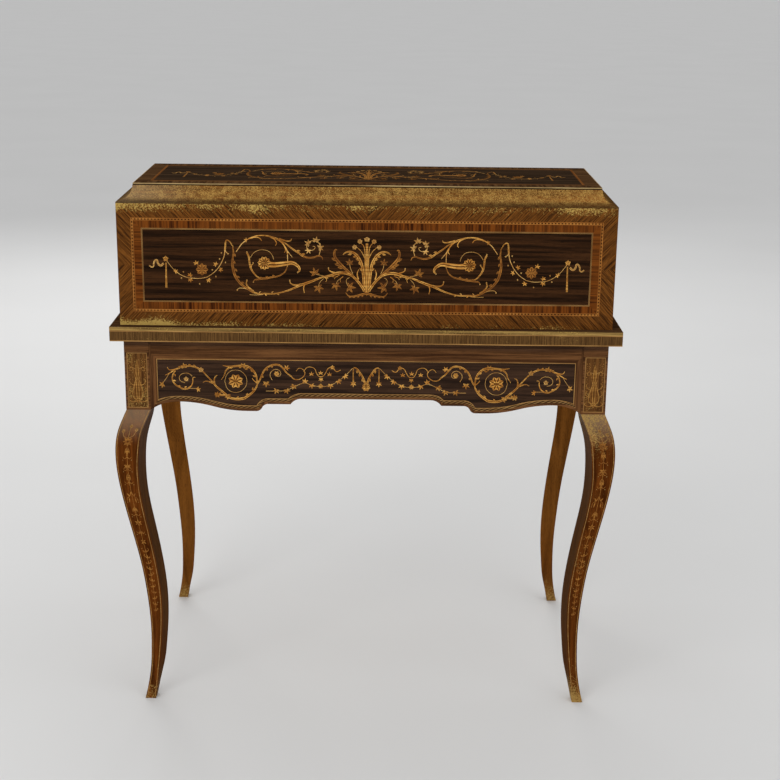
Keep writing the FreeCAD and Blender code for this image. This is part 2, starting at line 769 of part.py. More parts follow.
for side, sign in SIDES:
    edge = f"{sign} * case_face_x"
    stick = profile("XZ_Plane", "case_rear", "case_top_depth", cavetto(edge, f"{sign} * core_x", sign))
    if sign > 0:
        ends = mitre(("pivot_y", "case_rear"), ("core_front", "core_rear"), 90)
    else:
        ends = mitre(("-(case_rear)", "-(pivot_y)"), ("-(core_rear)", "-(core_front)"), -90)
    place(ends, edge, "0", "case_top")
    keep(common(stick, ends), f"cornice_{side}")

# Nest: a bed across the case, and on it a low rack with two small drawers under pigeonholes.
keep(board(("-(case_inner_x)", "case_inner_x"), ("nest_front", "case_back_inner"),
           ("plate_height", "bed_top")), "nest_bed")
nest_span = ("nest_front", "nest_rear")
inner_span = ("nest_front", "nest_back_inner")
inside = ("-(nest_inside)", "nest_inside")
keep(board(inside, nest_span, ("nest_top - nest_board", "nest_top")), "nest_top")
for side, sign in SIDES:
    end_x = across(sign, "nest_inside", "nest_half")
    keep(board(end_x, nest_span, ("bed_top", "nest_top")), f"nest_end_{side}")
keep(board(inside, ("nest_back_inner", "nest_rear"), ("bed_top", "nest_top - nest_board")), "nest_back")
keep(board(inside, inner_span, ("nest_shelf_under", "nest_shelf_top")), "nest_shelf")

PIGEONHOLE_SHARES = (-0.6, -0.2, 0.2, 0.6)
dividers = []
for sign in (-1, 1):
    dividers.append(board(across(sign, "nest_divider - nest_board", "nest_divider"), inner_span,
                          ("bed_top", "nest_shelf_under")))
for share in PIGEONHOLE_SHARES:
    middle = f"{share} * nest_inside"
    dividers.append(board((f"{middle} - nest_board / 2", f"{middle} + nest_board / 2"), inner_span,
                          ("nest_shelf_top", "nest_top - nest_board")))
keep(group(*dividers), "nest_dividers")


# Turned brass knobs: a spigot let into the wood, a rose, a waisted neck and a round head.
KNOB_ROSE_SHARE = 0.16
KNOB_NECK_SHARE = 0.45
KNOB_ROSE_RADIUS_SHARE = 0.85
KNOB_SPIGOT_RADIUS_SHARE = 0.4


def knob_spigot(spot, radius, slack):
    x, y, z = spot
    return rod((x, f"{y} + knob_spigot_depth + {slack}", z), "-y",
               f"{KNOB_SPIGOT_RADIUS_SHARE} * {radius} + {slack}", f"knob_spigot_depth + {slack}")


def knob(spot, radius, reach):
    """A knob standing out towards the sitter from a spot on the wood's face."""
    x, y, z = spot
    rose = f"{KNOB_ROSE_SHARE} * {reach}"
    neck_radius = f"{KNOB_SPIGOT_RADIUS_SHARE} * {radius}"
    head_middle = f"{y} - {reach} + {radius}"
    parts = [
        knob_spigot(spot, radius, "0"),
        rod((x, y, z), "-y", f"{KNOB_ROSE_RADIUS_SHARE} * {radius}", rose),
        cone((x, f"{y} - {rose}", z), "-y", f"{KNOB_ROSE_RADIUS_SHARE} * {radius} * {1 - KNOB_ROSE_SHARE}",
             neck_radius, f"{KNOB_NECK_SHARE} * {reach} - {rose}"),
        rod((x, y, z), "-y", neck_radius, f"{reach} - {radius}"),
        ball((x, head_middle, z), radius),
    ]
    return fuse(*parts)


def escutcheon(x, y, z):
    """A round brass keyhole plate facing the sitter."""
    disc = rod((x, y, z), "-y", "escutcheon_radius", "escutcheon_thickness")
    return cut(disc, *keyhole(x, f"{y} + cut_overrun", z, "escutcheon_thickness + 2 * cut_overrun"))


def keyhole(x, y, z, depth):
    """The round and the slot that a key goes through."""
    eye = rod((x, y, z), "-y", "key_radius", depth)
    slot = board((f"{x} - key_radius / 2", f"{x} + key_radius / 2"), (f"{y} - ({depth})", y),
                 (f"{z} - key_slot_drop", z))
    return [eye, slot]


def lock(x, y, z):
    """A flat iron lock case with its keyhole, its front against the wood."""
    case = board((f"{x} - lock_width / 2", f"{x} + lock_width / 2"), (y, f"{y} + lock_thickness"),
                 (f"{z} - lock_height / 2", f"{z} + lock_height / 2"))
    return cut(case, *keyhole(x, f"{y} + lock_thickness / 2", z, "lock_thickness / 2 + cut_overrun"))


# Cylinder fall: a curved shell of staves glued to a stout lower rail, hung on two iron arms.
rail_corners = [
    ("pivot_y - rail_outer_run", "pivot_z - rail_half_height"),
    ("pivot_y - rail_inner_run", "pivot_z - rail_half_height", "rail_inner", -1),
    ("pivot_y - rail_inner_run", "pivot_z + rail_half_height"),
    ("pivot_y - rail_outer_run", "pivot_z + rail_half_height", "cylinder_radius", 1),
]
rail_stick = profile("YZ_Plane", "-(shell_half)", "2 * shell_half", rail_corners)
rail_knob_spots = [(f"{sign} * rail_knob_spacing / 2", "rail_face", "pivot_z") for sign in (-1, 1)]
rail_holes = [knob_spigot(spot, "rail_knob_radius", "joint_clearance") for spot in rail_knob_spots]
rail_holes += keyhole("0", "pivot_y - rail_inner + cut_overrun", "pivot_z",
                      "cylinder_rail_thickness + 2 * cut_overrun")
keep(cut(rail_stick, *rail_holes), "cylinder_rail")

shell_corners = [
    ("pivot_y - rail_outer_run", "pivot_z + rail_half_height"),
    ("pivot_y - shell_inner_run", "pivot_z + rail_half_height", "cylinder_inner", -1),
    ("pivot_y + cylinder_inner * sin(cylinder_tuck_angle)",
     "pivot_z + cylinder_inner * cos(cylinder_tuck_angle)"),
    ("pivot_y + cylinder_radius * sin(cylinder_tuck_angle)",
     "pivot_z + cylinder_radius * cos(cylinder_tuck_angle)", "cylinder_radius", 1),
]
shell_stick = profile("YZ_Plane", "-(shell_half)", "2 * shell_half", shell_corners)

ARM_SCREW_SHARES = (0.25, 0.55, 0.85)
ARM_SPOKE_SHARES = (0.2, 0.84)


def polar(radius, turn, side):
    """A point at a radius and a turn from the front level line, moved sideways off that ray."""
    return (f"pivot_y - ({radius}) * cos({turn}) + ({side}) * sin({turn})",
            f"pivot_z + ({radius}) * sin({turn}) + ({side}) * cos({turn})")


def arm_screw(sign, share, slack):
    """A screw through an arm's rim into the end of the shell."""
    turn = f"({share} * arm_end_angle)"
    start = (f"{sign} * arm_outer_x", *polar("shell_middle", turn, "0"))
    return screw(start, "-x" if sign > 0 else "x", "arm_thickness + screw_bite", slack)


def arm_screws(sign, slack):
    return [arm_screw(sign, share, slack) for share in ARM_SCREW_SHARES]


shell_holes = [hole for sign in (-1, 1) for hole in arm_screws(sign, "joint_clearance")]
keep(cut(shell_stick, *shell_holes), "cylinder_shell")
keep(group(*[item for sign in (-1, 1) for item in arm_screws(sign, "0")]), "arm_screws")


def spoke(start, turn):
    half = "arm_spoke_width / 2"
    reach = "cylinder_inner - arm_rim_width / 2"
    corners = [polar("0", turn, half), polar("0", turn, f"-{half}"), polar(reach, turn, f"-{half}"),
               polar(reach, turn, half)]
    return profile("YZ_Plane", start, "arm_thickness", corners)


for side, sign in SIDES:
    start = "shell_half" if sign > 0 else "-(arm_outer_x)"
    rim = profile("YZ_Plane", start, "arm_thickness", [
        ("pivot_y - arm_rim_outer", "pivot_z"),
        ("pivot_y - arm_rim_inner", "pivot_z", "arm_rim_inner", -1),
        polar("arm_rim_inner", "arm_end_angle", "0"),
        polar("arm_rim_outer", "arm_end_angle", "0") + ("arm_rim_outer", 1),
    ])
    direction = "x" if sign > 0 else "-x"
    hub = rod((f"{sign} * shell_half", "pivot_y", "pivot_z"), direction, "arm_hub_radius", "arm_thickness")
    pin_hole = rod((f"{sign} * (shell_half - cut_overrun)", "pivot_y", "pivot_z"), direction,
                   "pivot_radius + joint_clearance / 2", "arm_thickness + 2 * cut_overrun")
    spokes = [spoke(start, f"({share} * arm_end_angle)") for share in ARM_SPOKE_SHARES]
    arm = cut(fuse(rim, hub, *spokes), pin_hole, *arm_screws(sign, "joint_clearance"))
    keep(arm, f"cylinder_arm_{side}")

pins = []
for side, sign in SIDES:
    direction = "x" if sign > 0 else "-x"
    pin_length = "arm_thickness + arm_gap + pivot_depth - running_clearance"
    shaft = rod((f"{sign} * shell_half", "pivot_y", "pivot_z"), direction, "pivot_radius", pin_length)
    flange = rod((f"{sign} * (shell_half - pivot_flange_thickness)", "pivot_y", "pivot_z"), direction,
                 "pivot_flange_radius", "pivot_flange_thickness")
    pins.append(fuse(shaft, flange))
keep(group(*pins), "pivot_pins")

rail_knobs = [knob(spot, "rail_knob_radius", "rail_knob_reach") for spot in rail_knob_spots]
keep(group(*rail_knobs), "cylinder_knobs")
keep(escutcheon("0", "rail_face - joint_clearance", "pivot_z"), "cylinder_escutcheon")
keep(lock("0", "pivot_y - sqrt(rail_inner ^ 2 - (lock_height / 2) ^ 2) + joint_clearance", "pivot_z"),
     "cylinder_lock")

# Writing slide: a board with a moulded front lip, tongues along its rear sides, and a leather inlay.
slide_x = ("-(slide_half)", "slide_half")
slide_blank = board(slide_x, ("front_edge + slide_lip_depth", "slide_rear"), ("slide_under", "slide_top"))
leather_x = ("-(slide_half) + leather_margin", "slide_half - leather_margin")
leather_y = ("front_edge + leather_margin", "nest_front - leather_margin / 2")
leather_z = ("slide_top - leather_thickness", "slide_top")
recess = board(leather_x, leather_y, (leather_z[0], "slide_top + cut_overrun"))
tongues = []
for sign in (-1, 1):
    tongues.append(board(across(sign, "slide_half", "slide_half + slide_tongue_size"),
                         ("slide_rear - slide_tongue_length", "slide_rear"),
                         ("tongue_mid - slide_tongue_size / 2", "tongue_mid + slide_tongue_size / 2")))
keep(cut(fuse(slide_blank, *tongues), recess), "slide_board")
keep(board(leather_x, leather_y, leather_z), "slide_leather")

lip = board(slide_x, ("front_edge", "front_edge + slide_lip_depth"), ("plate_under", "slide_top"))
slide_knob_spots = [(f"{sign} * slide_knob_spacing / 2", "front_edge", "plate_under + plate_thickness / 2")
                    for sign in (-1, 1)]
keep(cut(lip, *[knob_spigot(spot, "slide_knob_radius", "joint_clearance") for spot in slide_knob_spots]),
     "slide_lip")
slide_knobs = [knob(spot, "slide_knob_radius", "slide_knob_reach") for spot in slide_knob_spots]
keep(group(*slide_knobs), "slide_knobs")

# Frieze drawer: a front shaped like the aprons, and a plain box behind it.
front_board = profile("XZ_Plane", "drawer_front_back", "drawer_front_thickness",
                      serpentine("0", "drawer_front_half", "drawer_top", LONG_EDGE_SHARES))
front_holes = keyhole("0", "drawer_front_back + cut_overrun", "drawer_lock_z",
                      "drawer_front_thickness + 2 * cut_overrun")
keep(cut(front_board, *front_holes), "drawer_front")
box_y = ("drawer_front_back", "drawer_rear")
box_z = ("drawer_foot", "drawer_top")
bottom_z = ("drawer_foot + drawer_bottom_rise", "drawer_foot + drawer_bottom_rise + drawer_bottom_thickness")
for side, sign in SIDES:
    keep(board(across(sign, "drawer_inside", "drawer_half"), box_y, box_z), f"drawer_side_{side}")
box_x = ("-(drawer_inside)", "drawer_inside")
back_y = ("drawer_rear - drawer_side_thickness", "drawer_rear")
keep(board(box_x, back_y, box_z), "drawer_back")
keep(board(box_x, ("drawer_front_back", back_y[0]), bottom_z), "drawer_bottom")
keep(escutcheon("0", "drawer_face", "drawer_lock_z"), "drawer_escutcheon")
keep(lock("0", "drawer_front_back", "drawer_lock_z"), "drawer_lock")

# Small drawers of the nest, one at each end, each a front, a tray and a knob.
for side, sign in SIDES:
    low = "nest_divider + small_drawer_gap"
    high = "nest_inside - small_drawer_gap"
    foot = "bed_top + running_clearance"
    head = "nest_shelf_under - small_drawer_gap"
    front_y = ("nest_front", "nest_front + small_drawer_front")
    tray_y = (front_y[1], "nest_back_inner - running_clearance")
    x = across(sign, low, high)
    spot = (f"({x[0]} + {x[1]}) / 2", "nest_front", f"({foot} + {head}) / 2")
    front_hole = knob_spigot(spot, "small_knob_radius", "joint_clearance")
    keep(cut(board(x, front_y, (foot, head)), front_hole), f"small_drawer_front_{side}")
    hollow = board((f"{x[0]} + small_drawer_wall", f"{x[1]} - small_drawer_wall"),
                   (f"{tray_y[0]} - cut_overrun", f"{tray_y[1]} - small_drawer_wall"),
                   (f"{foot} + small_drawer_wall", f"{head} + cut_overrun"))
    keep(cut(board(x, tray_y, (foot, head)), hollow), f"small_drawer_tray_{side}")
    keep(knob(spot, "small_knob_radius", "small_knob_reach"), f"small_drawer_knob_{side}")

doc.recompute()

# Every object has to be sound before any file is written.
faults = [item.Label for item in doc.Objects if "Invalid" in item.State or "Error" in item.State]
for item in pieces:
    if item.Shape.isNull() or not item.Shape.isValid() or not item.Shape.Solids:
        faults.append(item.Label)
if faults:
    raise RuntimeError("failed objects: " + ", ".join(faults))

os.makedirs("parts", exist_ok=True)
for item in pieces:
    item.Shape.exportStep(f"parts/{item.Label}.step")
print(len(pieces), "pieces written")
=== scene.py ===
import bmesh
import bpy
import math
from mathutils import Matrix, Vector


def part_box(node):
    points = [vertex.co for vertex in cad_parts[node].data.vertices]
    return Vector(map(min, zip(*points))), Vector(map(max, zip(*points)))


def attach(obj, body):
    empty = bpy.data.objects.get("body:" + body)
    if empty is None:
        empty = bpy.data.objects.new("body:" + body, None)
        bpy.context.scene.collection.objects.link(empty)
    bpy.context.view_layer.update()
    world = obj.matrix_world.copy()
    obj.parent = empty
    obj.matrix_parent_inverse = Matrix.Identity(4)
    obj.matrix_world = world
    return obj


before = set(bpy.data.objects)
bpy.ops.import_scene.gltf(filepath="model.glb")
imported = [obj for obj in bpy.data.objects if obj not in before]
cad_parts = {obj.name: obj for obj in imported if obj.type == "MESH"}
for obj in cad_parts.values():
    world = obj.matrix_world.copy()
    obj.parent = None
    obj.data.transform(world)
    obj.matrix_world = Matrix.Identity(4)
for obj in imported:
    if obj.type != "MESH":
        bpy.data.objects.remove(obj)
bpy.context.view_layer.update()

# View. The photograph looks at the finished back of the desk, from a little above its top and with a long
# lens. This is that camera. A drawing that is taken from the photograph is read off in pixels of the square
# picture and carried along the sight lines to the face that it lies on.
PICTURE_WIDTH = 780
FOCAL_PIXELS = 1470
SENSOR_WIDTH = 36
VIEW_TURN = 0.0035
VIEW_TILT = 0.286
VIEW_ROLL = 0.0117
camera_place = Vector((-0.0329, 2.6886, 1.3186))
level_right = Vector((-1, VIEW_TURN, 0)).normalized()
level_ahead = Vector((-VIEW_TURN, -1, 0)).normalized()
ahead = level_ahead * math.cos(VIEW_TILT) - Vector((0, 0, 1)) * math.sin(VIEW_TILT)
plumb = level_right.cross(ahead)
view_right = level_right * math.cos(VIEW_ROLL) + plumb * math.sin(VIEW_ROLL)
view_up = plumb * math.cos(VIEW_ROLL) - level_right * math.sin(VIEW_ROLL)
camera = bpy.data.objects.new("camera", bpy.data.cameras.new("camera"))
camera.data.sensor_width = SENSOR_WIDTH
camera.data.lens = FOCAL_PIXELS / PICTURE_WIDTH * SENSOR_WIDTH
camera_turn = Matrix((view_right, view_up, -ahead)).transposed().to_4x4()
camera.matrix_world = Matrix.Translation(camera_place) @ camera_turn
bpy.context.scene.collection.objects.link(camera)
bpy.context.scene.camera = camera


def photo_point(pixel, depth):
    """Where the sight line through a pixel of the photograph meets the upright plane Y = depth."""
    aside = (pixel[0] - PICTURE_WIDTH / 2) / FOCAL_PIXELS
    down = (pixel[1] - PICTURE_WIDTH / 2) / FOCAL_PIXELS
    sight = ahead + view_right * aside - view_up * down
    return camera_place + sight * ((depth - camera_place.y) / sight.y)


# Legs. Four cabriole legs, each sawn with its square post from one piece of mahogany. The two outer faces are
# veneered red-brown, edged with a light line, and carry a falling chain of husks. The inner faces are left
# plain, and the feet have worn to a pale gold.
CARCASS = "carcass"
LEGS = ("leg_rear_left", "leg_rear_right", "leg_front_left", "leg_front_right")
UPRIGHT_GRAIN = (0, math.pi / 2, 0)
WAX_COLOUR = (0.40, 0.255, 0.068)


def fill(socket, value):
    """Links a socket to another, or sets its value; a colour of three numbers is made opaque."""
    if isinstance(value, bpy.types.NodeSocket):
        socket.id_data.links.new(value, socket)
    elif socket.type == "RGBA" and len(value) == 3:
        socket.default_value = (*value, 1)
    else:
        socket.default_value = value


def fill_named(node, inputs):
    """Fills a node's inputs by their names; an underscore stands for a space."""
    for name, value in inputs.items():
        fill(node.inputs[name.replace("_", " ")], value)
    return node


def home(*values):
    """The node tree of the first socket among some values."""
    return next(value.id_data for value in values if isinstance(value, bpy.types.NodeSocket))


def add(tree, kind, **inputs):
    """Places one shader node in a tree."""
    return fill_named(tree.nodes.new("ShaderNode" + kind), inputs)


def reckon(operation, *values):
    """One sum on numbers that change over the surface."""
    made = add(home(*values), "Math")
    made.operation = operation
    for socket, value in zip(made.inputs, values):
        fill(socket, value)
    return made.outputs[0]


def times(value, factor, plus=None):
    """A value times a factor, with something added where it is given."""
    if plus is None:
        return reckon("MULTIPLY", value, factor)
    return reckon("MULTIPLY_ADD", value, factor, plus)


def ramp(value, low, high):
    """A smooth rise from 0 at low to 1 at high, or a fall where low is the larger."""
    made = add(home(value), "MapRange", Value=value, From_Min=low, From_Max=high)
    made.interpolation_type = "SMOOTHSTEP"
    return made.outputs[0]


def mingle(share, first, second):
    """Two colours mixed by a share."""
    made = add(home(share, first, second), "Mix")
    made.data_type = "RGBA"
    for index, value in ((0, share), (6, first), (7, second)):
        fill(made.inputs[index], value)
    return made.outputs[2]


def noise(spots, scale, detail, **more):
    """Cloudy noise over the coordinates."""
    return add(home(spots), "TexNoise", Vector=spots, Scale=scale, Detail=detail, **more).outputs["Fac"]


def axes(spots):
    """Coordinates taken apart into X, Y and Z."""
    return add(home(spots), "SeparateXYZ", Vector=spots).outputs


def new_effect(name, inputs, outputs):
    """An empty shader group with named sockets: the group, what it is given and what it gives."""
    group = bpy.data.node_groups.new(name, "ShaderNodeTree")
    for label, kind in inputs:
        group.interface.new_socket(label, in_out="INPUT", socket_type="NodeSocket" + kind)
    for label, kind in outputs:
        group.interface.new_socket(label, in_out="OUTPUT", socket_type="NodeSocket" + kind)
    return group, group.nodes.new("NodeGroupInput").outputs, group.nodes.new("NodeGroupOutput").inputs


# Grain runs along the first axis of the coordinates, which are in metres: streaks, fibres and flecks are
# noise that is drawn out that way.
grain_effect, given, gives = new_effect(
    "wood grain",
    (("Vector", "Vector"), ("Dark", "Color"), ("Light", "Color"), ("Figure", "Float"), ("Pores", "Float")),
    (("Color", "Color"), ("Height", "Float")))
long_spots, thin_spots, short_spots = [
    add(grain_effect, "Mapping", Vector=given["Vector"], Scale=scale).outputs[0]
    for scale in ((3.5, 130, 130), (28, 950, 950), (75, 1500, 1500))]
streaks = noise(long_spots, given["Figure"], 6.0, Roughness=0.64, Distortion=0.45)
fibres = noise(thin_spots, 1.0, 2.0)
flecks = noise(short_spots, 1.0, 1.0)
pits = times(ramp(flecks, 0.56, 0.68), given["Pores"])
tone = times(fibres, 0.5, ramp(streaks, 0.34, 0.68))
body_colour = mingle(reckon("SUBTRACT", tone, 0.2), given["Dark"], given["Light"])
fill(gives["Color"], mingle(times(pits, 0.6), body_colour, (0.006, 0.003, 0.0015)))
fill(gives["Height"], reckon("SUBTRACT", times(fibres, 0.5), pits))

# Old wax and dust that has settled in patches and broken up into crumbs.
wax_effect, given, gives = new_effect(
    "old wax",
    (("Color", "Color"), ("Vector", "Vector"), ("Wax", "Color"), ("Amount", "Float")),
    (("Color", "Color"),))
clouds = noise(given["Vector"], 17.0, 3.0)
crumbs = noise(given["Vector"], 430.0, 4.0, Roughness=0.75)
heap = times(clouds, 0.8, times(crumbs, 1.5))
cover = ramp(reckon("ADD", heap, given["Amount"]), 1.50, 1.69)
fill(gives["Color"], mingle(times(cover, 0.88), given["Color"], given["Wax"]))


def begin(name, read="Object", turn=(0, 0, 0)):
    """A new material, the coordinates that it reads, and the same turned along the grain."""
    made = bpy.data.materials.new(name)
    made.use_nodes = True
    spots = add(made.node_tree, "TexCoord").outputs[read]
    along = add(made.node_tree, "Mapping", Vector=spots, Rotation=turn).outputs[0]
    return made, spots, along


def use(effect, **inputs):
    """One placing of a shared effect: what it gives."""
    made = add(home(*inputs.values()), "Group")
    made.node_tree = effect
    return fill_named(made, inputs).outputs


def wood_grain(along, dark, light, figure, pores):
    """Wood with its grain along the first axis: its colour and the height of its grain."""
    return use(grain_effect, Vector=along, Dark=dark, Light=light, Figure=figure, Pores=pores)


def waxed(colour, spots, wax, amount):
    """A colour with old wax on it."""
    return use(wax_effect, Color=colour, Vector=spots, Wax=wax, Amount=amount)["Color"]


def coat(**inputs):
    """Fills inputs of the shader that a material ends in."""
    fill_named(home(*inputs.values()).nodes["Principled BSDF"], inputs)


def bump(height, strength, distance):
    """A normal that follows a height."""
    return add(home(height), "Bump", Height=height, Strength=strength, Distance=distance).outputs[0]


def polish(colour, height, rough, relief=0.12, shine=0.03):
    """Hand polish over wood: colour, a little grain relief, and a shine that the grain breaks up."""
    coat(Base_Color=colour, Specular_IOR_Level=shine, Roughness=times(height, -0.12, rough),
         Normal=bump(height, relief, 0.0004))


def timber(name, dark, light, read="Object", turn=(0, 0, 0), figure=1.0, pores=0.5, rough=0.44, wax=0.0,
           shine=0.03):
    """A polished wood with its grain along one axis, and some old wax on it."""
    made, spots, along = begin(name, read, turn)
    wood = wood_grain(along, dark, light, figure, pores)
    colour = wood["Color"]
    if wax:
        colour = waxed(colour, spots.node.outputs["Object"], WAX_COLOUR, wax)
    polish(colour, wood["Height"], rough, shine=shine)
    return made


def dress(material, *names):
    """Gives CAD pieces their finish."""
    for name in names:
        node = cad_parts[name]
        if node.material_slots:
            node.material_slots[0].material = material
        else:
            node.data.materials.append(material)


leg_wood, spots, along = begin("leg veneer", turn=UPRIGHT_GRAIN)
outer = wood_grain(along, (0.048, 0.012, 0.002), (0.150, 0.041, 0.006), 0.8, 0.5)
inner = wood_grain(along, (0.108, 0.037, 0.006), (0.186, 0.067, 0.011), 0.7, 0.7)
facing = axes(spots.node.outputs["Normal"])
spot = axes(spots)
outward = reckon("MAXIMUM", *[times(facing[axis], reckon("SIGN", spot[axis])) for axis in "XY"])
# Painted shade: the inner faces that turn towards the kneehole are darkened.
kneehole_painted_shade = ramp(reckon("ABSOLUTE", facing["X"]), 0.4, 0.8)
inner_colour = mingle(times(kneehole_painted_shade, 0.62), inner["Color"], (0.022, 0.010, 0.003))
leg_colour = mingle(ramp(outward, 0.2, 0.4), inner_colour, outer["Color"])
# Painted sheen: the outer faces are paled towards the top of the knee, as if catching the light.
knee_painted_sheen = times(ramp(spot["Z"], 0.500, 0.556), ramp(outward, 0.3, 0.6))
leg_colour = mingle(times(knee_painted_sheen, 0.5), leg_colour, (0.30, 0.205, 0.125))
foot_wear = times(ramp(spot["Z"], 0.085, 0.0), 0.40, 0.02)
waxed_side = ramp(spot["X"], 0.0, -0.1)
knee_wax = times(waxed_side, 0.24, 0.12)
leg_wax = times(ramp(spot["Z"], 0.465, 0.535), knee_wax, foot_wear)
leg_wax = times(waxed_side, 0.10, leg_wax)
plain_inside = times(ramp(outward, 0.4, 0.2), ramp(spot["Z"], 0.04, 0.10))
leg_wax = times(plain_inside, -0.2, leg_wax)
leg_colour = waxed(leg_colour, spots, (0.37, 0.230, 0.066), leg_wax)
polish(leg_colour, outer["Height"], 0.42, shine=0.004)
dress(leg_wood, *LEGS)

# Inlay woods: boxwood shaded in hot sand, a browner fruitwood, and pale boxwood for stems and berries.
TONES = ("gold", "brown", "pale", "engraved")


def inlay_wood(name, lit, scorched, shine=0.03):
    """A wood with a lit colour, scorched in patches."""
    made, spots, along = begin(name)
    wood = wood_grain(along, scorched, lit, 3.0, 0.15)
    colour = mingle(ramp(noise(spots, 95.0, 3.0), 0.4, 0.68), wood["Color"], scorched)
    polish(colour, wood["Height"], 0.42, 0.08, shine)
    return made


def inlay_set(place, *shades, shine=0.03):
    """The three inlay woods as they look in one place, each with its lit and its scorched colour."""
    kinds = ("boxwood", "fruitwood", "pale boxwood")
    return [inlay_wood(f"{place} {kind}", *pair, shine) for kind, pair in zip(kinds, shades)]


inlay_woods = (
    inlay_wood("sand-shaded boxwood", (0.86, 0.47, 0.110), (0.38, 0.145, 0.023)),
    inlay_wood("brown fruitwood", (0.50, 0.212, 0.040), (0.205, 0.074, 0.015)),
    inlay_wood("pale boxwood", (0.82, 0.52, 0.170), (0.46, 0.22, 0.052)),
)
leg_inlay_woods = inlay_set(
    "rubbed", ((0.48, 0.215, 0.042), (0.24, 0.088, 0.017)), ((0.22, 0.085, 0.019), (0.13, 0.046, 0.010)),
    ((0.52, 0.31, 0.105), (0.30, 0.15, 0.042)))
engraving = inlay_wood("engraved lines", (0.150, 0.056, 0.012), (0.070, 0.025, 0.007), 0.0)
INLAY_RELIEF = 0.00022
VEIN_FROM = 0.0012
VEIN_SHARE = 0.25
VEIN_LIFT = 1.3
VEIN_STEPS = 2
STROKE_STEPS = 4


def finished(piece, body):
    """Puts a piece in the scene, on its body."""
    bpy.context.scene.collection.objects.link(piece)
    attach(piece, body)
    return piece


def inlay(name, strokes, lay, body=CARCASS, woods=inlay_woods):
    """Lets tapering strips of wood into a surface and engraves a vein down the broad ones.

    A stroke is a tone and points of across, up and half width.
    """
    drawn = bpy.data.curves.new(name, "CURVE")
    drawn.dimensions = "3D"
    drawn.bevel_depth = 1
    drawn.bevel_resolution = 1
    drawn.use_fill_caps = True
    for wood in (*woods, engraving):
        drawn.materials.append(wood)
    veins = [("engraved", points) for tone, points in strokes
             if max(half for across, up, half in points) > VEIN_FROM]
    for tone, points in strokes + veins:
        engraved = tone == "engraved"
        spline = drawn.splines.new("BEZIER")
        spline.material_index = TONES.index(tone)
        spline.use_smooth = False
        spline.resolution_u = VEIN_STEPS if engraved else STROKE_STEPS
        spline.bezier_points.add(len(points) - 1)
        for knot, (across, up, half) in zip(spline.bezier_points, points):
            knot.co = (across, up, half * VEIN_LIFT if engraved else 0)
            knot.radius = half * VEIN_SHARE if engraved else half
            knot.handle_left_type = "AUTO"
            knot.handle_right_type = "AUTO"
    pen = bpy.data.objects.new(name, drawn)
    mesh = bpy.data.meshes.new_from_object(pen)
    bpy.data.objects.remove(pen)
    bpy.data.curves.remove(drawn)
    for vert in mesh.vertices:
        across, up, out = vert.co
        vert.co = lay(across, up, INLAY_RELIEF * out / (abs(out) + INLAY_RELIEF))
    return finished(bpy.data.objects.new(name, mesh), body)


# Drawings are in metres, but widths and reaches are given in millimetres.
MILLIMETRES = 1000


def strip(tone, points, start, end):
    """A strip whose width, in millimetres, changes evenly from one end to the other."""
    last = len(points) - 1
    widths = [start + (end - start) * index / last for index in range(last + 1)]
    return tone, [(spot[0], spot[1], width / 2 / MILLIMETRES) for spot, width in zip(points, widths)]


LEAF_SWELL = ((0.0, 0.3), (0.38, 1.0), (0.72, 0.66), (1.0, 0.08))


def leaf(tone, foot, tip, width, bend=0.0):
    """A leaf from foot to tip, width in millimetres, bowed to its left by a share of its length."""
    foot = Vector(foot)
    way = Vector(tip) - foot
    aside = Vector((-way.y, way.x)) * bend
    points = []
    for share, swell in LEAF_SWELL:
        spot = foot + way * share + aside * (4 * share * (1 - share))
        points.append((spot.x, spot.y, swell * width / 2 / MILLIMETRES))
    return tone, points


BERRY_LENGTH = 0.8
BERRY_ENDS = 0.55


def berry(tone, centre, size):
    """A round spot, its width in millimetres."""
    half = size / 2 / MILLIMETRES
    x, y = centre
    aside, end = half * BERRY_LENGTH, half * BERRY_ENDS
    return tone, [(x - aside, y, end), (x, y, half), (x + aside, y, end)]


PETAL_FOOT = 0.18


def flower(tone, centre, reach, petals, turn, plump=0.74):
    """Petals round a middle: reach in millimetres, turn of the first petal in degrees."""
    centre = Vector(centre)
    made = []
    for index in range(petals):
        angle = math.radians(turn + 360 * index / petals)
        ray = Vector((math.cos(angle), math.sin(angle))) * reach / MILLIMETRES
        made.append(leaf(tone, centre + ray * PETAL_FOOT, centre + ray, reach * plump))
    return made


TREFOIL = ((-62, 0.8), (0, 1.0), (62, 0.8))
PALM = ((-112, 0.72), (-56, 0.92), (0, 1.0), (56, 0.92), (112, 0.72))
PALM_PLUMP = 0.34


def sprig(tone, centre, reach, turn, lobes=TREFOIL, plump=0.62):
    """Leaves that spread from one foot, each lobe an angle and a share of the reach."""
    foot = Vector(centre)
    made = []
    for spread, size in lobes:
        angle = math.radians(turn + spread)
        tip = foot + Vector((math.cos(angle), math.sin(angle))) * reach * size / MILLIMETRES
        made.append(leaf(tone, foot, tip, reach * plump))
    return made


FRINGE_LEAN = 0.75
FRINGE_ASIDE = 0.66
FRINGE_BOW = 0.12


def fringe(tone, points, side, length, width, count):
    """Lobes of a leaf that spring from one side of a stem at even steps and lean the way it runs."""
    made = []
    spans = len(points) - 1
    for index in range(count):
        at = (index + 0.5) / count * spans
        step = min(int(at), spans - 1)
        foot = Vector(points[step]).lerp(Vector(points[step + 1]), at - step)
        run = (Vector(points[step + 1]) - Vector(points[step])).normalized()
        aside = Vector((-run.y, run.x)) * side
        tip = foot + (run * FRINGE_LEAN + aside * FRINGE_ASIDE) * length / MILLIMETRES
        made.append(leaf(tone, foot, tip, width, FRINGE_BOW * side))
    return made


def mirrored(strokes):
    """The strokes and their mirror images left and right."""
    return strokes + [(tone, [(-x, y, half) for x, y, half in points]) for tone, points in strokes]


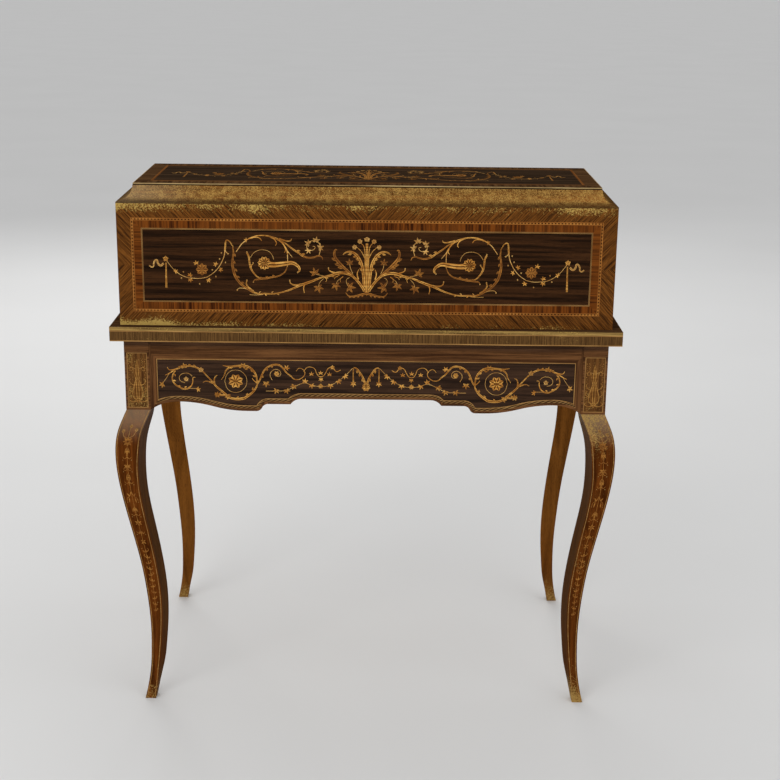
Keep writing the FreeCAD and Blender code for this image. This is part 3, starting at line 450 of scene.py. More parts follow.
LEG_LEVELS = 100
LEG_RISE = 0.0001
SOLE_GAP = 0.001
FACE_SLACK = 0.0003
EDGE_MARGIN = 0.0024
EDGE_LINE = 0.9
CHAIN_HEAD = 0.515
CHAIN_FOOT = 0.175
CHAIN_STEM = ((0, CHAIN_HEAD), (0.0006, 0.42), (-0.0005, 0.31), (0, CHAIN_FOOT))
CHAIN_PALM = 0.464
CHAIN_HOOKS = 11
CHAIN_CURLS = (0.477, 0.455, 0.430, 0.366, 0.330)
CURL = ((0, 0.004), (0.0045, 0.001), (0.0075, 0.0045))
CURL_BERRY = (0.0074, -0.0015)
HOOKS_HEAD = 0.298
HOOK_LONGEST = 0.0064
HOOK_SHORTER = 0.0020
# A hook, the leaf across from it and the drop below, in shares of the hook's size towards its side and up.
HOOK = ((0, -1), (0.6, -0.5), (0.85, 0), (0.45, 0.3))
HOOK_LEAF = ((0, -1), (-0.8, -0.3))
HOOK_DROP = ((0, 0), (0, -1.1))
HOOK_BEND = 0.2
BERRY_EVERY = 3
BERRY_RISE = 0.2
DOWN = 270
NECK_SHARE = 0.75
NECK_DROP = 0.009
BLOSSOMS = ((-0.0110, 0.527), (0.000, 0.535), (0.0110, 0.529))
SPRAY_STEM = ((0, 0.415), (0.004, 0.406), (0.0085, 0.402), (0.0095, 0.396))
SPRAY_BERRY = (0.0095, 0.394)
SPRAY_LEAVES = (((0.004, 0.406), (0.0075, 0.412), 2.4), ((0.005, 0.404), (0.006, 0.392), 2.2))
# Stars: height, reach in millimetres, petals, turn in degrees and how plump the petals are.
CHAIN_STARS = ((0.509, 9.0, 8, 90, 0.34), (0.352, 6.6, 6, 30, 0.34), (0.313, 5.6, 4, 45, 0.36))
# Drops of three leaves: height, reach, spread of the outer two, their share of the reach, and how plump.
CHAIN_DROPS = ((0.499, 20.0, 20, 0.6, 0.17), (0.450, 25.0, 15, 0.55, 0.15), (0.384, 16.0, 26, 0.7, 0.2),
               (0.336, 10.0, 30, 0.8, 0.26))
UP = Vector((0, 0, 1))
post_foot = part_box("apron_rear")[0].z + SOLE_GAP


def everything(made):
    """All the corners, edges and faces of a mesh that is being made."""
    return [*made.verts, *made.edges, *made.faces]


def leg_levels(name):
    """Level cuts through a leg: each a height and the spots where the leg's skin is cut."""
    levels = []
    for step in range(LEG_LEVELS + 1):
        height = SOLE_GAP + (post_foot - 2 * SOLE_GAP) * step / LEG_LEVELS
        made = bmesh.new()
        made.from_mesh(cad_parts[name].data)
        sawn = bmesh.ops.bisect_plane(made, geom=everything(made), plane_co=(0, 0, height), plane_no=UP)
        spots = [item.co.copy() for item in sawn["geom_cut"] if isinstance(item, bmesh.types.BMVert)]
        levels.append((height, spots))
        made.free()
    return levels


def leg_face(levels, out):
    """One outer face of a leg, level by level: height, how far out it stands, and its two edges across."""
    right = UP.cross(out)
    rows = []
    for height, cut in levels:
        reach = max(spot.dot(out) for spot in cut)
        face = [spot.dot(right) for spot in cut if spot.dot(out) > reach - FACE_SLACK]
        rows.append(Vector((height, reach, min(face), max(face))))
    return rows


def on_leg(rows, out):
    """The rule that lays a drawing on an outer face of a leg: across from its middle, height, and out."""
    right = UP.cross(out)

    def lay(across, up, proud):
        share = (up - rows[0][0]) / (rows[-1][0] - rows[0][0]) * LEG_LEVELS
        step = max(0, min(LEG_LEVELS - 1, int(share)))
        height, reach, low, high = rows[step].lerp(rows[step + 1], share - step)
        return out * (reach + LEG_RISE + proud) + right * ((low + high) / 2 + across) + UP * up

    return lay


def outer_faces(name):
    """The two outer faces of a leg, each a label and the way that it looks."""
    low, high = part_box(name)
    return (("side", Vector((math.copysign(1, low.x + high.x), 0, 0))),
            ("end", Vector((0, math.copysign(1, low.y + high.y), 0))))


def husk_chain():
    """Three blossoms on thin stems, stars and drops of leaves below, then a stem of small hooked leaves."""
    made = [strip("gold", CHAIN_STEM, 0.9, 0.5)]
    for spot in BLOSSOMS:
        made += flower("pale", spot, 3.3, 6, 0)
        made.append(berry("brown", spot, 1.6))
        neck = (spot[0] * NECK_SHARE, spot[1] - NECK_DROP)
        made.append(strip("pale", [(0, CHAIN_HEAD), neck, spot], 0.7, 0.6))
    for height, reach, petals, turn, plump in CHAIN_STARS:
        made += flower("gold", (0, height), reach, petals, turn, plump)
    for height, reach, spread, share, plump in CHAIN_DROPS:
        lobes = ((-spread, share), (0, 1.0), (spread, share))
        made += sprig("gold", (0, height), reach, DOWN, lobes, plump)
    made += sprig("gold", (0, CHAIN_PALM), 9.0, DOWN, PALM, PALM_PLUMP)
    half = [strip("gold", SPRAY_STEM, 1.3, 0.6), berry("pale", SPRAY_BERRY, 1.7)]
    half += [leaf("gold", foot, tip, width) for foot, tip, width in SPRAY_LEAVES]
    for height in CHAIN_CURLS:
        half.append(strip("gold", [(x, height + y) for x, y in CURL], 1.3, 0.6))
        half.append(berry("pale", (CURL_BERRY[0], height + CURL_BERRY[1]), 1.6))
    made += mirrored(half)
    for number in range(CHAIN_HOOKS):
        share = number / (CHAIN_HOOKS - 1)
        height = HOOKS_HEAD - (HOOKS_HEAD - CHAIN_FOOT) * share
        size = HOOK_LONGEST - HOOK_SHORTER * share
        side = (-1) ** number
        hook, across_from_it, drop = [[(side * size * x, height + size * y) for x, y in part]
                                      for part in (HOOK, HOOK_LEAF, HOOK_DROP)]
        made.append(strip("gold", hook, 1.4, 0.6))
        made.append(leaf("gold", *across_from_it, 2.6, HOOK_BEND * side))
        made.append(leaf("gold", *drop, 2.4))
        if number % BERRY_EVERY == 0:
            made.append(berry("pale", (-side * size, height + size * BERRY_RISE), 1.5))
    return made


for name in LEGS:
    levels = leg_levels(name)
    for label, out in outer_faces(name):
        rows = leg_face(levels, out)
        strokes = husk_chain()
        for way in (-1, 1):
            edge = [(way * ((high - low) / 2 - EDGE_MARGIN), height) for height, reach, low, high in rows]
            strokes.append(strip("pale", edge, EDGE_LINE, EDGE_LINE))
        inlay(f"{name}_{label}_inlay", strokes, on_leg(rows, out), woods=leg_inlay_woods)

# Aprons and front rail. The rails are tenoned between the posts and veneered: a red-brown frieze along the
# top, and below it a dark rosewood field with scrolling marquetry, framed by a light line. A roped stringing
# follows the shaped lower edge.
VENEER = 0.0004
FIELD_TOP = 0.6622
FIELD_MARGIN = 0.0035
BORDER = 0.0048
ROPE = 0.0041
LIGHT_LINE = 0.0012
DARK_LINE = 0.0007
EASE = 0.0018
KEYHOLE_HALF = 0.0062
WELD = 0.000002
FACING = 0.99
CORNER_ANGLE = 2.75
CORNER_REACH = 0.0085
ROPE_BELOW = 0.03
CUT_SLACK = 0.00006
POST_INNER = 0.373
TENON = 0.020
REAR = Vector((0, 1, 0))
FRONT = Vector((0, -1, 0))
RIGHT = Vector((1, 0, 0))
LEFT = Vector((-1, 0, 0))


def frieze_rosewood(name, read):
    """Rosewood that turns redder towards the foot of the frieze."""
    made, spots, along = begin(name, read)
    wood = wood_grain(along, (0.028, 0.012, 0.006), (0.118, 0.055, 0.026), 1.3, 0.6)
    red = wood_grain(along, (0.046, 0.017, 0.006), (0.190, 0.080, 0.027), 1.2, 0.5)
    place = spots.node.outputs["Object"]
    low = ramp(times(noise(place, 7.0, 2.0), 0.012, axes(place)["Z"]), 0.686, 0.676)
    polish(mingle(low, wood["Color"], red["Color"]), wood["Height"], 0.46)
    return made


frieze_wood = frieze_rosewood("frieze rosewood", "Object")
frieze_leaf = frieze_rosewood("frieze veneer", "UV")
apron_field = timber("apron rosewood", (0.016, 0.0085, 0.0055), (0.060, 0.030, 0.0165), read="UV", rough=0.5)
light_line = timber("boxwood line", (0.20, 0.095, 0.027), (0.46, 0.25, 0.080), read="UV", figure=4.0,
                    pores=0.1)
dark_line = timber("dark line", (0.010, 0.006, 0.004), (0.026, 0.014, 0.008), read="UV", figure=3.0,
                   pores=0.2)

rope_string, spots, along = begin("roped stringing")
spot = axes(spots)
twist = times(spot["Z"], 260.0, times(reckon("ADD", spot["X"], spot["Y"]), 105.0))
lay_of_rope = ramp(reckon("PINGPONG", twist, 0.5), 0.2, 0.3)
rope_grain = wood_grain(along, (0.15, 0.076, 0.024), (0.33, 0.19, 0.066), 2.0, 0.4)
rope_colour = mingle(lay_of_rope, (0.032, 0.013, 0.005), rope_grain["Color"])
polish(rope_colour, rope_grain["Height"], 0.45)


def seat(out, origin, right=None):
    """A place for a drawing on a flat face: across, up and out of it. On an upright face across is level."""
    right = UP.cross(out) if right is None else right
    return Matrix.Translation(origin) @ Matrix((right, out.cross(right), out)).transposed().to_4x4()


def flat(place, rise=VENEER):
    """The rule that lays a drawing flat on a place, so high above the wood."""
    return lambda across, up, out: place @ Vector((across, up, out + rise))


def face_of(name, place):
    """The flat face of a CAD piece that lies in a place's plane, as one outline drawn across and up."""
    made = bmesh.new()
    made.from_mesh(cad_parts[name].data)
    bmesh.ops.remove_doubles(made, verts=made.verts, dist=WELD)
    bmesh.ops.transform(made, matrix=place.inverted(), verts=made.verts)
    made.normal_update()
    rest = [face for face in made.faces
            if face.normal.z < FACING or abs(face.calc_center_median().z) > VENEER]
    bmesh.ops.delete(made, geom=rest, context="FACES")
    bmesh.ops.dissolve_faces(made, faces=made.faces[:])
    return made


def oblong(width, height):
    """A rectangle drawn about its middle."""
    made = bmesh.new()
    bmesh.ops.create_grid(made, x_segments=1, y_segments=1, size=0.5)
    bmesh.ops.scale(made, vec=(width, height, 1), verts=made.verts)
    return made


def scribe(made, *lines):
    """Cuts a drawing along lines, each level or upright: which axis, and how far from the middle."""
    for axis, distance in lines:
        normal = Vector((1, 0, 0) if axis == "x" else (0, 1, 0))
        bmesh.ops.bisect_plane(made, geom=everything(made), plane_co=normal * distance, plane_no=normal)


def bands(made, *widths):
    """Sets the largest face in again and again: each width leaves a mitred band of the next material."""
    heart = max(made.faces, key=lambda face: face.calc_area())
    first = heart.material_index
    for index, width in enumerate(widths):
        ring = bmesh.ops.inset_region(made, faces=[heart], thickness=width, use_even_offset=True,
                                      use_boundary=True)
        for face in ring["faces"]:
            face.material_index = first + index
    heart.material_index = first + len(widths)


def eased(made, width, reach):
    """Sets the largest face in and lets go of short edges by its corners, so that bands can't cross."""
    heart = max(made.faces, key=lambda face: face.calc_area())
    bmesh.ops.inset_region(made, faces=[heart], thickness=width, use_even_offset=True, use_boundary=True)
    corners = [loop.vert for loop in heart.loops if loop.is_convex and loop.calc_angle() < CORNER_ANGLE]
    joined = {}
    for vert in heart.verts:
        if vert not in corners:
            nearest = min(corners, key=lambda corner: (corner.co - vert.co).length)
            if (nearest.co - vert.co).length < reach:
                joined[vert] = nearest
    bmesh.ops.weld_verts(made, targetmap=joined)


def level(face):
    """Grain that runs level."""
    return Vector((1, 0))


def upright(face):
    """Grain that runs upright."""
    return Vector((0, 1))


def long_way(face):
    """Level on a piece that is wider than it is tall, and upright on one that is taller."""
    across = [vert.co.x for vert in face.verts]
    up = [vert.co.y for vert in face.verts]
    return level(face) if max(across) - min(across) > max(up) - min(up) else upright(face)


def down_band(face):
    """The way that a band runs: along its longest edge."""
    longest = max(face.edges, key=lambda edge: edge.calc_length())
    way = (longest.verts[1].co - longest.verts[0].co).xy
    return way.normalized()


def across_band(face):
    """Square to the way that a band runs."""
    way = down_band(face)
    return Vector((-way.y, way.x))


def leaf_of_veneer(name, made, rules, woods, lay, body=CARCASS):
    """Makes a drawing into a thin veneer. A rule for each wood gives the way that its grain runs."""
    grain = made.loops.layers.uv.new("grain")
    for face in made.faces:
        rule = rules[face.material_index]
        way = rule(face)
        aside = Vector((-way.y, way.x))
        middle = face.calc_center_median().xy.dot(aside) if rule is down_band else 0
        for loop in face.loops:
            spot = loop.vert.co.xy
            loop[grain].uv = (spot.dot(way), spot.dot(aside) - middle)
    for vert in made.verts:
        vert.co = lay(*vert.co)
    mesh = bpy.data.meshes.new(name)
    made.to_mesh(mesh)
    made.free()
    for wood in woods:
        mesh.materials.append(wood)
    piece = bpy.data.objects.new(name, mesh)
    backing = piece.modifiers.new("thickness", "SOLIDIFY")
    backing.thickness = VENEER
    backing.offset = -1
    return finished(piece, body)


def apron_veneer(name, made, place, half, body=CARCASS, keyhole=None):
    """The veneers of an apron: frieze wood round a dark field, with rope along the shaped edge only."""
    scribe(made, ("x", -half), ("x", half), ("y", FIELD_TOP))
    eased(made, EASE, CORNER_REACH)
    bands(made, BORDER - EASE, ROPE, LIGHT_LINE, DARK_LINE)
    for face in made.faces:
        middle = face.calc_center_median()
        off_the_edge = middle.y > FIELD_TOP - ROPE_BELOW or abs(middle.x) > half - BORDER - ROPE
        if face.material_index == 1 and off_the_edge:
            face.material_index = 0
    if keyhole:
        for way in (-KEYHOLE_HALF, KEYHOLE_HALF):
            scribe(made, ("x", way), ("y", keyhole + way))
        reach = KEYHOLE_HALF + CUT_SLACK
        hole = [face for face in made.faces
                if all(abs(vert.co.x) < reach and abs(vert.co.y - keyhole) < reach for vert in face.verts)]
        bmesh.ops.delete(made, geom=hole, context="FACES")
    woods = (frieze_leaf, rope_string, light_line, dark_line, apron_field)
    return leaf_of_veneer(name, made, (long_way, level, down_band, down_band, level), woods, flat(place),
                          body)


rear_place = seat(REAR, (0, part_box("apron_rear")[1].y, 0))
apron_veneer("apron_rear_veneer", face_of("apron_rear", rear_place), rear_place, POST_INNER - FIELD_MARGIN)
side_low, side_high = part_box("apron_right")
side_middle = (side_low.y + side_high.y) / 2
side_half = (side_high.y - side_low.y) / 2 - TENON
side_places = {side: seat(out, (side_high.x * out.x, side_middle, 0))
               for side, out in (("right", RIGHT), ("left", LEFT))}
for side, place in side_places.items():
    apron_veneer(f"apron_{side}_veneer", face_of(f"apron_{side}", place), place, side_half - FIELD_MARGIN)
dress(frieze_wood, "apron_rear", "apron_left", "apron_right", "front_rail")


def traced(pixels, place):
    """Pixels of the photograph as spots on a place: across and up."""
    to_place = place.inverted()
    depth = place.translation.y + VENEER
    return [(to_place @ photo_point(pixel, depth)).xy for pixel in pixels]


# The apron's scrolls, read off the left half of the photograph and sorted by tone. Stems: width in
# millimetres at either end, then pixels. Sprigs: reach, turn, pixel. Flowers: reach, petals, turn, pixel.
# Fringes: side, length, width, number of lobes, then pixels.
APRON_STEMS = {
    "gold": (
        (2.9, 2.0, (200, 369.5), (197.1, 367.8), (191.5, 366.1), (185.2, 366.4), (181, 367.1),
         (178.2, 368.5), (173.2, 370.3)),
        (2.3, 0.8, (178.2, 368.2), (172.6, 369.8), (169, 369.6), (167.3, 367.1)),
        (2.0, 0.9, (174, 370.3), (169, 373.4), (165.2, 375.2)),
        (2.0, 2.6, (175.4, 370.6), (172.9, 374.8), (172.5, 379.8), (175, 384), (178.9, 386.8),
         (183.8, 388.9), (188, 388.5)),
        (2.3, 0.9, (188, 388.5), (191.5, 385.4), (192.9, 381.2), (193.2, 377.6), (195.4, 377.3)),
        (1.7, 3.8, (202.4, 371), (208.3, 377.3), (212.5, 381.9), (216.1, 386.1), (221.7, 391),
         (225.9, 394.5)),
        (2.6, 0.9, (214, 383.6), (210.4, 382.2), (206.2, 381.2), (202.7, 382.6)),
        (2.6, 0.9, (214.6, 384.4), (214.3, 379.8), (215.4, 376.6), (217.5, 375.2)),
        (2.4, 4.6, (214.7, 394.5), (221, 395.2), (225.2, 395.2), (230.8, 398), (237.1, 399.1),
         (244.1, 398.4)),
        (4.6, 2.0, (244.1, 398.4), (249, 395.2), (253.2, 391.7), (256.1, 387.5), (257.6, 383.3)),
        (2.0, 4.2, (257.4, 383.6), (256.8, 379.1), (256.1, 375.5), (253.2, 370.6), (248.3, 366.8),
         (242.7, 365.7)),
        (4.2, 1.2, (242.7, 365.7), (235.7, 366.1), (228, 366.4), (222.7, 365.4)),
        (2.9, 0.9, (230.5, 366.6), (225.9, 370.6), (224.5, 374.8), (221.3, 379.8)),
        (2.2, 0.9, (257.3, 383), (254.6, 381.2), (252.2, 378.4)),
        (2.3, 3.2, (257.6, 383.4), (259.4, 380.7), (261.6, 375.6), (264.5, 370.1), (269.7, 366.1),
         (275.5, 364.6), (280, 365.3)),
        (2.8, 1.5, (280, 365.3), (283.6, 369), (286.5, 372.7), (290.2, 375.6), (294.6, 379.3),
         (299, 379.6)),
        (1.4, 0.7, (299, 379.6), (303.4, 376.7), (304.9, 372.7), (302.7, 369.4), (299, 368.3),
         (296.1, 371.2)),
        (0.9, 1.3, (303.6, 371.6), (307.1, 367.5), (311.5, 367.2), (314.8, 369), (316.6, 373.4),
         (319.6, 376.7), (323.2, 376), (325.8, 372.7), (328.4, 368.3), (332.4, 367.5), (336.4, 371.6),
         (340.5, 370.1)),
        (1.0, 2.6, (353.3, 367.9), (353.2, 374), (353.3, 381.5), (353.3, 385.1)),
        (1.9, 3.5, (353.6, 367.6), (356.2, 368.3), (359.9, 372.7), (363.6, 379.3), (365.8, 387.3)),
    ),
    "pale": (
        (0.7, 0.7, (169, 373.6), (166.2, 378.4), (164.1, 381.2), (162.4, 384.7)),
        (0.8, 0.8, (192.2, 376.2), (189.4, 373.8), (185.2, 373.1), (181, 374.5), (179.2, 378),
         (181, 381.2), (185.2, 382.6)),
        (0.8, 0.8, (188, 388.5), (192, 388.4), (196.4, 388.5)),
        (0.9, 0.7, (272.2, 380), (270, 374.9), (272.6, 370.5), (277, 369.4), (280.7, 372.7),
         (279.2, 376.3), (275.9, 376)),
        (0.8, 0.8, (266, 391), (276.3, 391), (286.5, 390.3), (295, 386.4), (304.9, 383), (311.5, 385.1),
         (320.7, 386.6), (330.6, 385.1), (338.3, 381.1), (344.9, 376), (352.6, 368.3)),
    ),
}
APRON_SPRIGS = {
    "gold": (
        (7.4, 200, 162.8, 384.4), (6.1, 20, 197.6, 389.6), (7.4, 250, 276.3, 390.3),
        (7.4, 290, 286.5, 390.3), (7.4, 250, 293.9, 385.9), (6.8, 80, 304.9, 381.8),
        (6.8, 280, 311.5, 385.1), (6.8, 270, 330.6, 385.1), (6.8, 310, 338.3, 381.1),
        (6.8, 320, 344.9, 376), (5.4, 90, 311.5, 374.6), (5.4, 90, 320.7, 373.6), (5.4, 90, 329.5, 375),
        (5.4, 270, 321, 379), (6.8, 270, 353.3, 383.5), (6.8, 60, 286.4, 368.4), (8.1, 270, 266.1, 383),
        (7.4, 10, 216.6, 394.7), (7.4, 100, 184, 366.8), (7.4, 60, 243, 366.4), (7.4, 120, 228.6, 397.4),
    ),
}
APRON_FLOWERS = {
    "pale": (
        (5.0, 5, 18, 201, 369.9), (4.6, 5, 90, 186.2, 379.1),
    ),
    "gold": (
        (13.0, 8, 22, 235.7, 381.2), (4.6, 5, 90, 320.7, 386.2), (4.0, 5, 90, 332.4, 367.5),
        (5.0, 6, 0, 276.6, 373.8),
    ),
}
APRON_FRINGES = {
    "gold": (
        (-1, 5.2, 2.6, 4, (197.1, 367.8), (191.5, 366.1), (185.2, 366.4), (178.2, 368.5)),
        (1, 4.6, 2.4, 4, (175.4, 370.6), (172.5, 379.8), (178.9, 386.8), (188, 388.5)),
        (1, 6.0, 3.0, 5, (214.7, 394.5), (225.2, 395.2), (237.1, 399.1), (249, 395.2), (256.1, 387.5)),
        (1, 6.0, 3.0, 5, (256.8, 379.1), (253.2, 370.6), (242.7, 365.7), (228, 366.4)),
        (1, 5.2, 2.6, 3, (275.5, 364.6), (269.7, 366.1), (264.5, 370.1), (259.4, 380.7)),
        (-1, 6.2, 3.3, 4, (356.2, 368.3), (359.9, 372.7), (363.6, 379.3), (365.8, 387.3)),
    ),
}
APRON_RING = ((224.6, 381.4), (227.8, 373.3), (235.7, 370), (243.6, 373.3), (246.9, 381.2), (243.6, 389.1),
              (235.7, 392.4), (227.8, 389.1), (224.6, 380.8))
APRON_HEART = (235.7, 381.2)
APRON_MIDDLE = (366.5, 387.3)
FLOWER_EYE = 0.4


def rows_of(table):
    """The rows of a table that is sorted by tone, each with its tone in front."""
    return [(tone, *row) for tone, rows in table.items() for row in rows]


def drawn_from_photo(place, stems, sprigs, flowers, fringes):
    """One half of a marquetry design, from its tables of pixels."""
    strokes = [strip(tone, traced(pixels, place), start, end)
               for tone, start, end, *pixels in rows_of(stems)]
    for tone, reach, turn, *pixel in rows_of(sprigs):
        strokes += sprig(tone, traced([pixel], place)[0], reach, turn, PALM, PALM_PLUMP)
    for tone, reach, petals, turn, *pixel in rows_of(flowers):
        centre = traced([pixel], place)[0]
        strokes += flower(tone, centre, reach, petals, turn)
        strokes.append(berry("brown", centre, reach * FLOWER_EYE))
    for tone, side, length, width, count, *pixels in rows_of(fringes):
        strokes += fringe(tone, traced(pixels, place), side, length, width, count)
    return strokes


apron_half_design = drawn_from_photo(rear_place, APRON_STEMS, APRON_SPRIGS, APRON_FLOWERS, APRON_FRINGES)
apron_half_design.append(strip("pale", traced(APRON_RING, rear_place), 0.7, 0.7))
apron_half_design.append(berry("brown", traced([APRON_HEART], rear_place)[0], 9.0))
middle_flower = flower("gold", (0, traced([APRON_MIDDLE], rear_place)[0].y), 7.5, 7, 90)
apron_design = mirrored(apron_half_design) + middle_flower
inlay("apron_rear_marquetry", apron_design, flat(rear_place))

# The side aprons are shorter and carry only the outer scrolls, mirrored about their own middle.
SCROLL_END = -0.168
SCROLL_GAP = 0.004


def shifted(strokes, aside, up=0.0, stretch=1.0, rise=1.0):
    """Strokes moved and scaled across and up."""
    slim = min(stretch, rise)
    return [(tone, [(x * stretch + aside, y * rise + up, half * slim) for x, y, half in points])
            for tone, points in strokes]


def within(strokes, low, high):
    """The strokes that lie wholly between two distances across."""
    return [stroke for stroke in strokes if all(low <= point[0] <= high for point in stroke[1])]


outer_scrolls = mirrored(shifted(within(apron_half_design, -1, SCROLL_END), -SCROLL_END - SCROLL_GAP))
for side, place in side_places.items():
    inlay(f"apron_{side}_marquetry", outer_scrolls, flat(place))

# Post faces. Above each knee the post is veneered flush with the aprons: the frieze runs on across its head,
# and below is an upright panel in a light line, with a worn urn on a scrolled foot.
POST_MARGIN = 0.0036
POST_FIELD_TOP = 0.6676
URN_DOTS = 18
DOTS_ASIDE = 0.0142
DOTS_JOG = 0.0012
DOTS_HEAD = 0.0375
DOTS_STEP = 0.0040
INNER_DOTS = 6
INNER_DOTS_IN = 0.0045
INNER_DOTS_HEAD = 0.0380
INNER_DOTS_STEP = 0.0022
POST_WIDTH = 0.042
POST_FACE_X = 0.415
POST_FACE_REAR = 0.252
POST_FACE_FRONT = -0.238
post_wood = timber("post panel", (0.050, 0.018, 0.005), (0.165, 0.068, 0.017), read="UV", figure=1.3,
                   wax=0.22)
post_inlay_woods = inlay_set(
    "worn", ((0.46, 0.235, 0.055), (0.24, 0.105, 0.024)), ((0.27, 0.115, 0.025), (0.15, 0.060, 0.014)),
    ((0.40, 0.22, 0.065), (0.24, 0.115, 0.031)))
# One half of the urn's outline and of the curls beside it: greatest width in millimetres, then points from
# the middle of the panel. Each line tapers to URN_TAPER of its width.
URN_TAPER = 0.6
URN_LINES = (
    (1.9, ((0.0026, 0.0015), (0.0056, -0.009), (0.0090, -0.024), (0.0062, -0.0325), (0, -0.0350))),
    (1.7, ((0.0026, 0.0015), (0.0046, 0.010), (0.0074, 0.021), (0.0098, 0.0245))),
    (1.7, ((0, -0.0365), (0.007, -0.0388), (0.0135, -0.0370), (0.0152, -0.0335), (0.0125, -0.0322))),
    (1.3, ((0.0098, 0.0245), (0.0125, 0.021), (0.0105, 0.017), (0.0085, 0.0185))),
    (1.2, ((0.0092, -0.022), (0.0132, -0.019), (0.0142, -0.013), (0.0112, -0.0115))),
    (1.2, ((0.0062, -0.009), (0.0112, -0.006), (0.0136, 0.0005), (0.0108, 0.003))),
)
URN_RIMS = (
    (1.3, ((-0.0085, 0.0225), (0, 0.0205), (0.0085, 0.0225))),
    (1.4, ((-0.0040, 0.0025), (0, 0.0015), (0.0040, 0.0025))),
)
# Leaves: foot, tip and width in millimetres.
URN_FOOT = (0, -0.034)
URN_LEAVES = ((URN_FOOT, (0, 0.004), 10.0), ((0, 0.002), (0, 0.037), 7.0))
URN_SIDE_LEAVES = (((0.0045, -0.033), (0.0035, -0.004), 5.6), ((0.0025, 0.004), (0.0065, 0.022), 3.6))


def urn():
    """A pear-shaped urn on a scrolled foot, with curls and falling dots beside it."""
    half = [strip("gold", line, broad, broad * URN_TAPER) for broad, line in URN_LINES]
    half += [leaf("brown", *shape) for shape in URN_SIDE_LEAVES]
    for number in range(URN_DOTS):
        across = DOTS_ASIDE - DOTS_JOG * (number % 2)
        half.append(berry("gold", (across, DOTS_HEAD - DOTS_STEP * number), 1.7))
        if number < INNER_DOTS:
            height = INNER_DOTS_HEAD - INNER_DOTS_STEP * number
            half.append(berry("gold", (across - INNER_DOTS_IN, height), 1.5))
    made = mirrored(half)
    made += [leaf("gold", *shape) for shape in URN_LEAVES]
    made += [strip("pale", rim, broad, broad) for broad, rim in URN_RIMS]
    return made + sprig("gold", URN_FOOT, 7.5, DOWN)


for name in LEGS:
    faces = outer_faces(name)
    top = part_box(name)[1].z
    head = top - post_foot
    corner = faces[0][1] + faces[1][1]
    y_face = POST_FACE_REAR if corner.y > 0 else POST_FACE_FRONT
    centre = Vector((POST_FACE_X * corner.x, y_face, post_foot + head / 2)) - corner * POST_WIDTH / 2
    for label, out in faces:
        place = seat(out, centre + out * POST_WIDTH / 2)
        made = oblong(POST_WIDTH, head)
        scribe(made, ("y", POST_FIELD_TOP - centre.z))
        bands(made, POST_MARGIN, LIGHT_LINE)
        leaf_of_veneer(f"{name}_{label}_post_veneer", made, (level, down_band, upright),
                       (frieze_leaf, light_line, post_wood), flat(place))
        inlay(f"{name}_{label}_post_inlay", shifted(urn(), 0, (POST_FIELD_TOP - top) / 2), flat(place),
              woods=post_inlay_woods)

# Hidden frame. Oak runners, glue blocks, dust board and dowels, and iron screws, arms and locks. They hold
# the desk together where the show wood hides them, so they are left plain.
OAK = {"dark": (0.23, 0.135, 0.062), "light": (0.45, 0.29, 0.15), "figure": 1.2, "pores": 1.0, "rough": 0.62}
oak = timber("oak", **OAK)
oak_deep = timber("oak along the depth", turn=(0, 0, -math.pi / 2), **OAK)
dress(oak, "dust_board", "top_core")
dress(oak_deep, "drawer_runner_left", "drawer_runner_right", "glue_blocks", "case_dowels")

iron, spots, along = begin("blackened iron")
scale = noise(spots, 240.0, 4.0)
rust = ramp(noise(spots, 60.0, 3.0), 0.55, 0.72)
coat(Base_Color=mingle(rust, (0.055, 0.05, 0.047), (0.12, 0.055, 0.028)), Metallic=0.85,
     Roughness=times(scale, 0.3, 0.35), Normal=bump(scale, 0.2, 0.0005))
dress(iron, "plate_screws", "arm_screws", "cylinder_arm_left", "cylinder_arm_right", "pivot_pins",
      "cylinder_lock", "drawer_lock")

# Plate. Three boards framing the slide, veneered on top. Their outer edges are lipped with one run of
# cross-grain veneer that hides the joints, between two light lines.
EDGE_STRING = 0.0017
HEAD_STRIP = 0.0078
plate_wood = timber("plate veneer", (0.030, 0.014, 0.006), (0.085, 0.040, 0.016), figure=0.8, rough=0.6,
                    wax=0.05, shine=0.0)

lipping, spots, along = begin("cross-grain lipping", "UV")
wood = wood_grain(along, (0.052, 0.023, 0.007), (0.160, 0.080, 0.024), 3.6, 0.8)
place = spots.node.outputs["Object"]
high_edge = ramp(axes(place)["Z"], 0.703, 0.713)
colour = waxed(wood["Color"], place, WAX_COLOUR, times(high_edge, 0.22, 0.12))
polish(colour, wood["Height"], 0.45, 0.2)
dress(plate_wood, "plate_left", "plate_right", "plate_rear")
head_strip = timber("rubbed edge strip", (0.085, 0.044, 0.014), (0.40, 0.25, 0.075), read="UV", figure=1.6,
                    wax=0.28)

plate_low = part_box("plate_left")[0]
plate_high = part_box("plate_right")[1]
plate_middle = (plate_low + plate_high) / 2
plate_size = plate_high - plate_low


def lip(name, length, place, height, body=CARCASS):
    """A lipping of cross-grain veneer between two light lines."""
    made = oblong(length, height)
    foot_line = EDGE_STRING - height / 2
    head_line = height / 2 - HEAD_STRIP
    scribe(made, ("y", foot_line), ("y", head_line), ("y", head_line + EDGE_STRING))
    for face in made.faces:
        middle = face.calc_center_median().y
        if middle > head_line + EDGE_STRING:
            face.material_index = 2
        elif middle > head_line or middle < foot_line:
            face.material_index = 1
    return leaf_of_veneer(name, made, (upright, level, level), (lipping, light_line, head_strip), flat(place),
                          body)


def panel(name, out, right=None):
    """The place at the middle of one face of a piece's box, and that face's width and height."""
    low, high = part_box(name)
    middle = (low + high) / 2
    centre = [high[k] if out[k] > 0 else low[k] if out[k] < 0 else middle[k] for k in range(3)]
    place = seat(out, centre, right)
    width, height, depth = place.to_3x3().transposed() @ (high - low)
    return place, abs(width), abs(height)


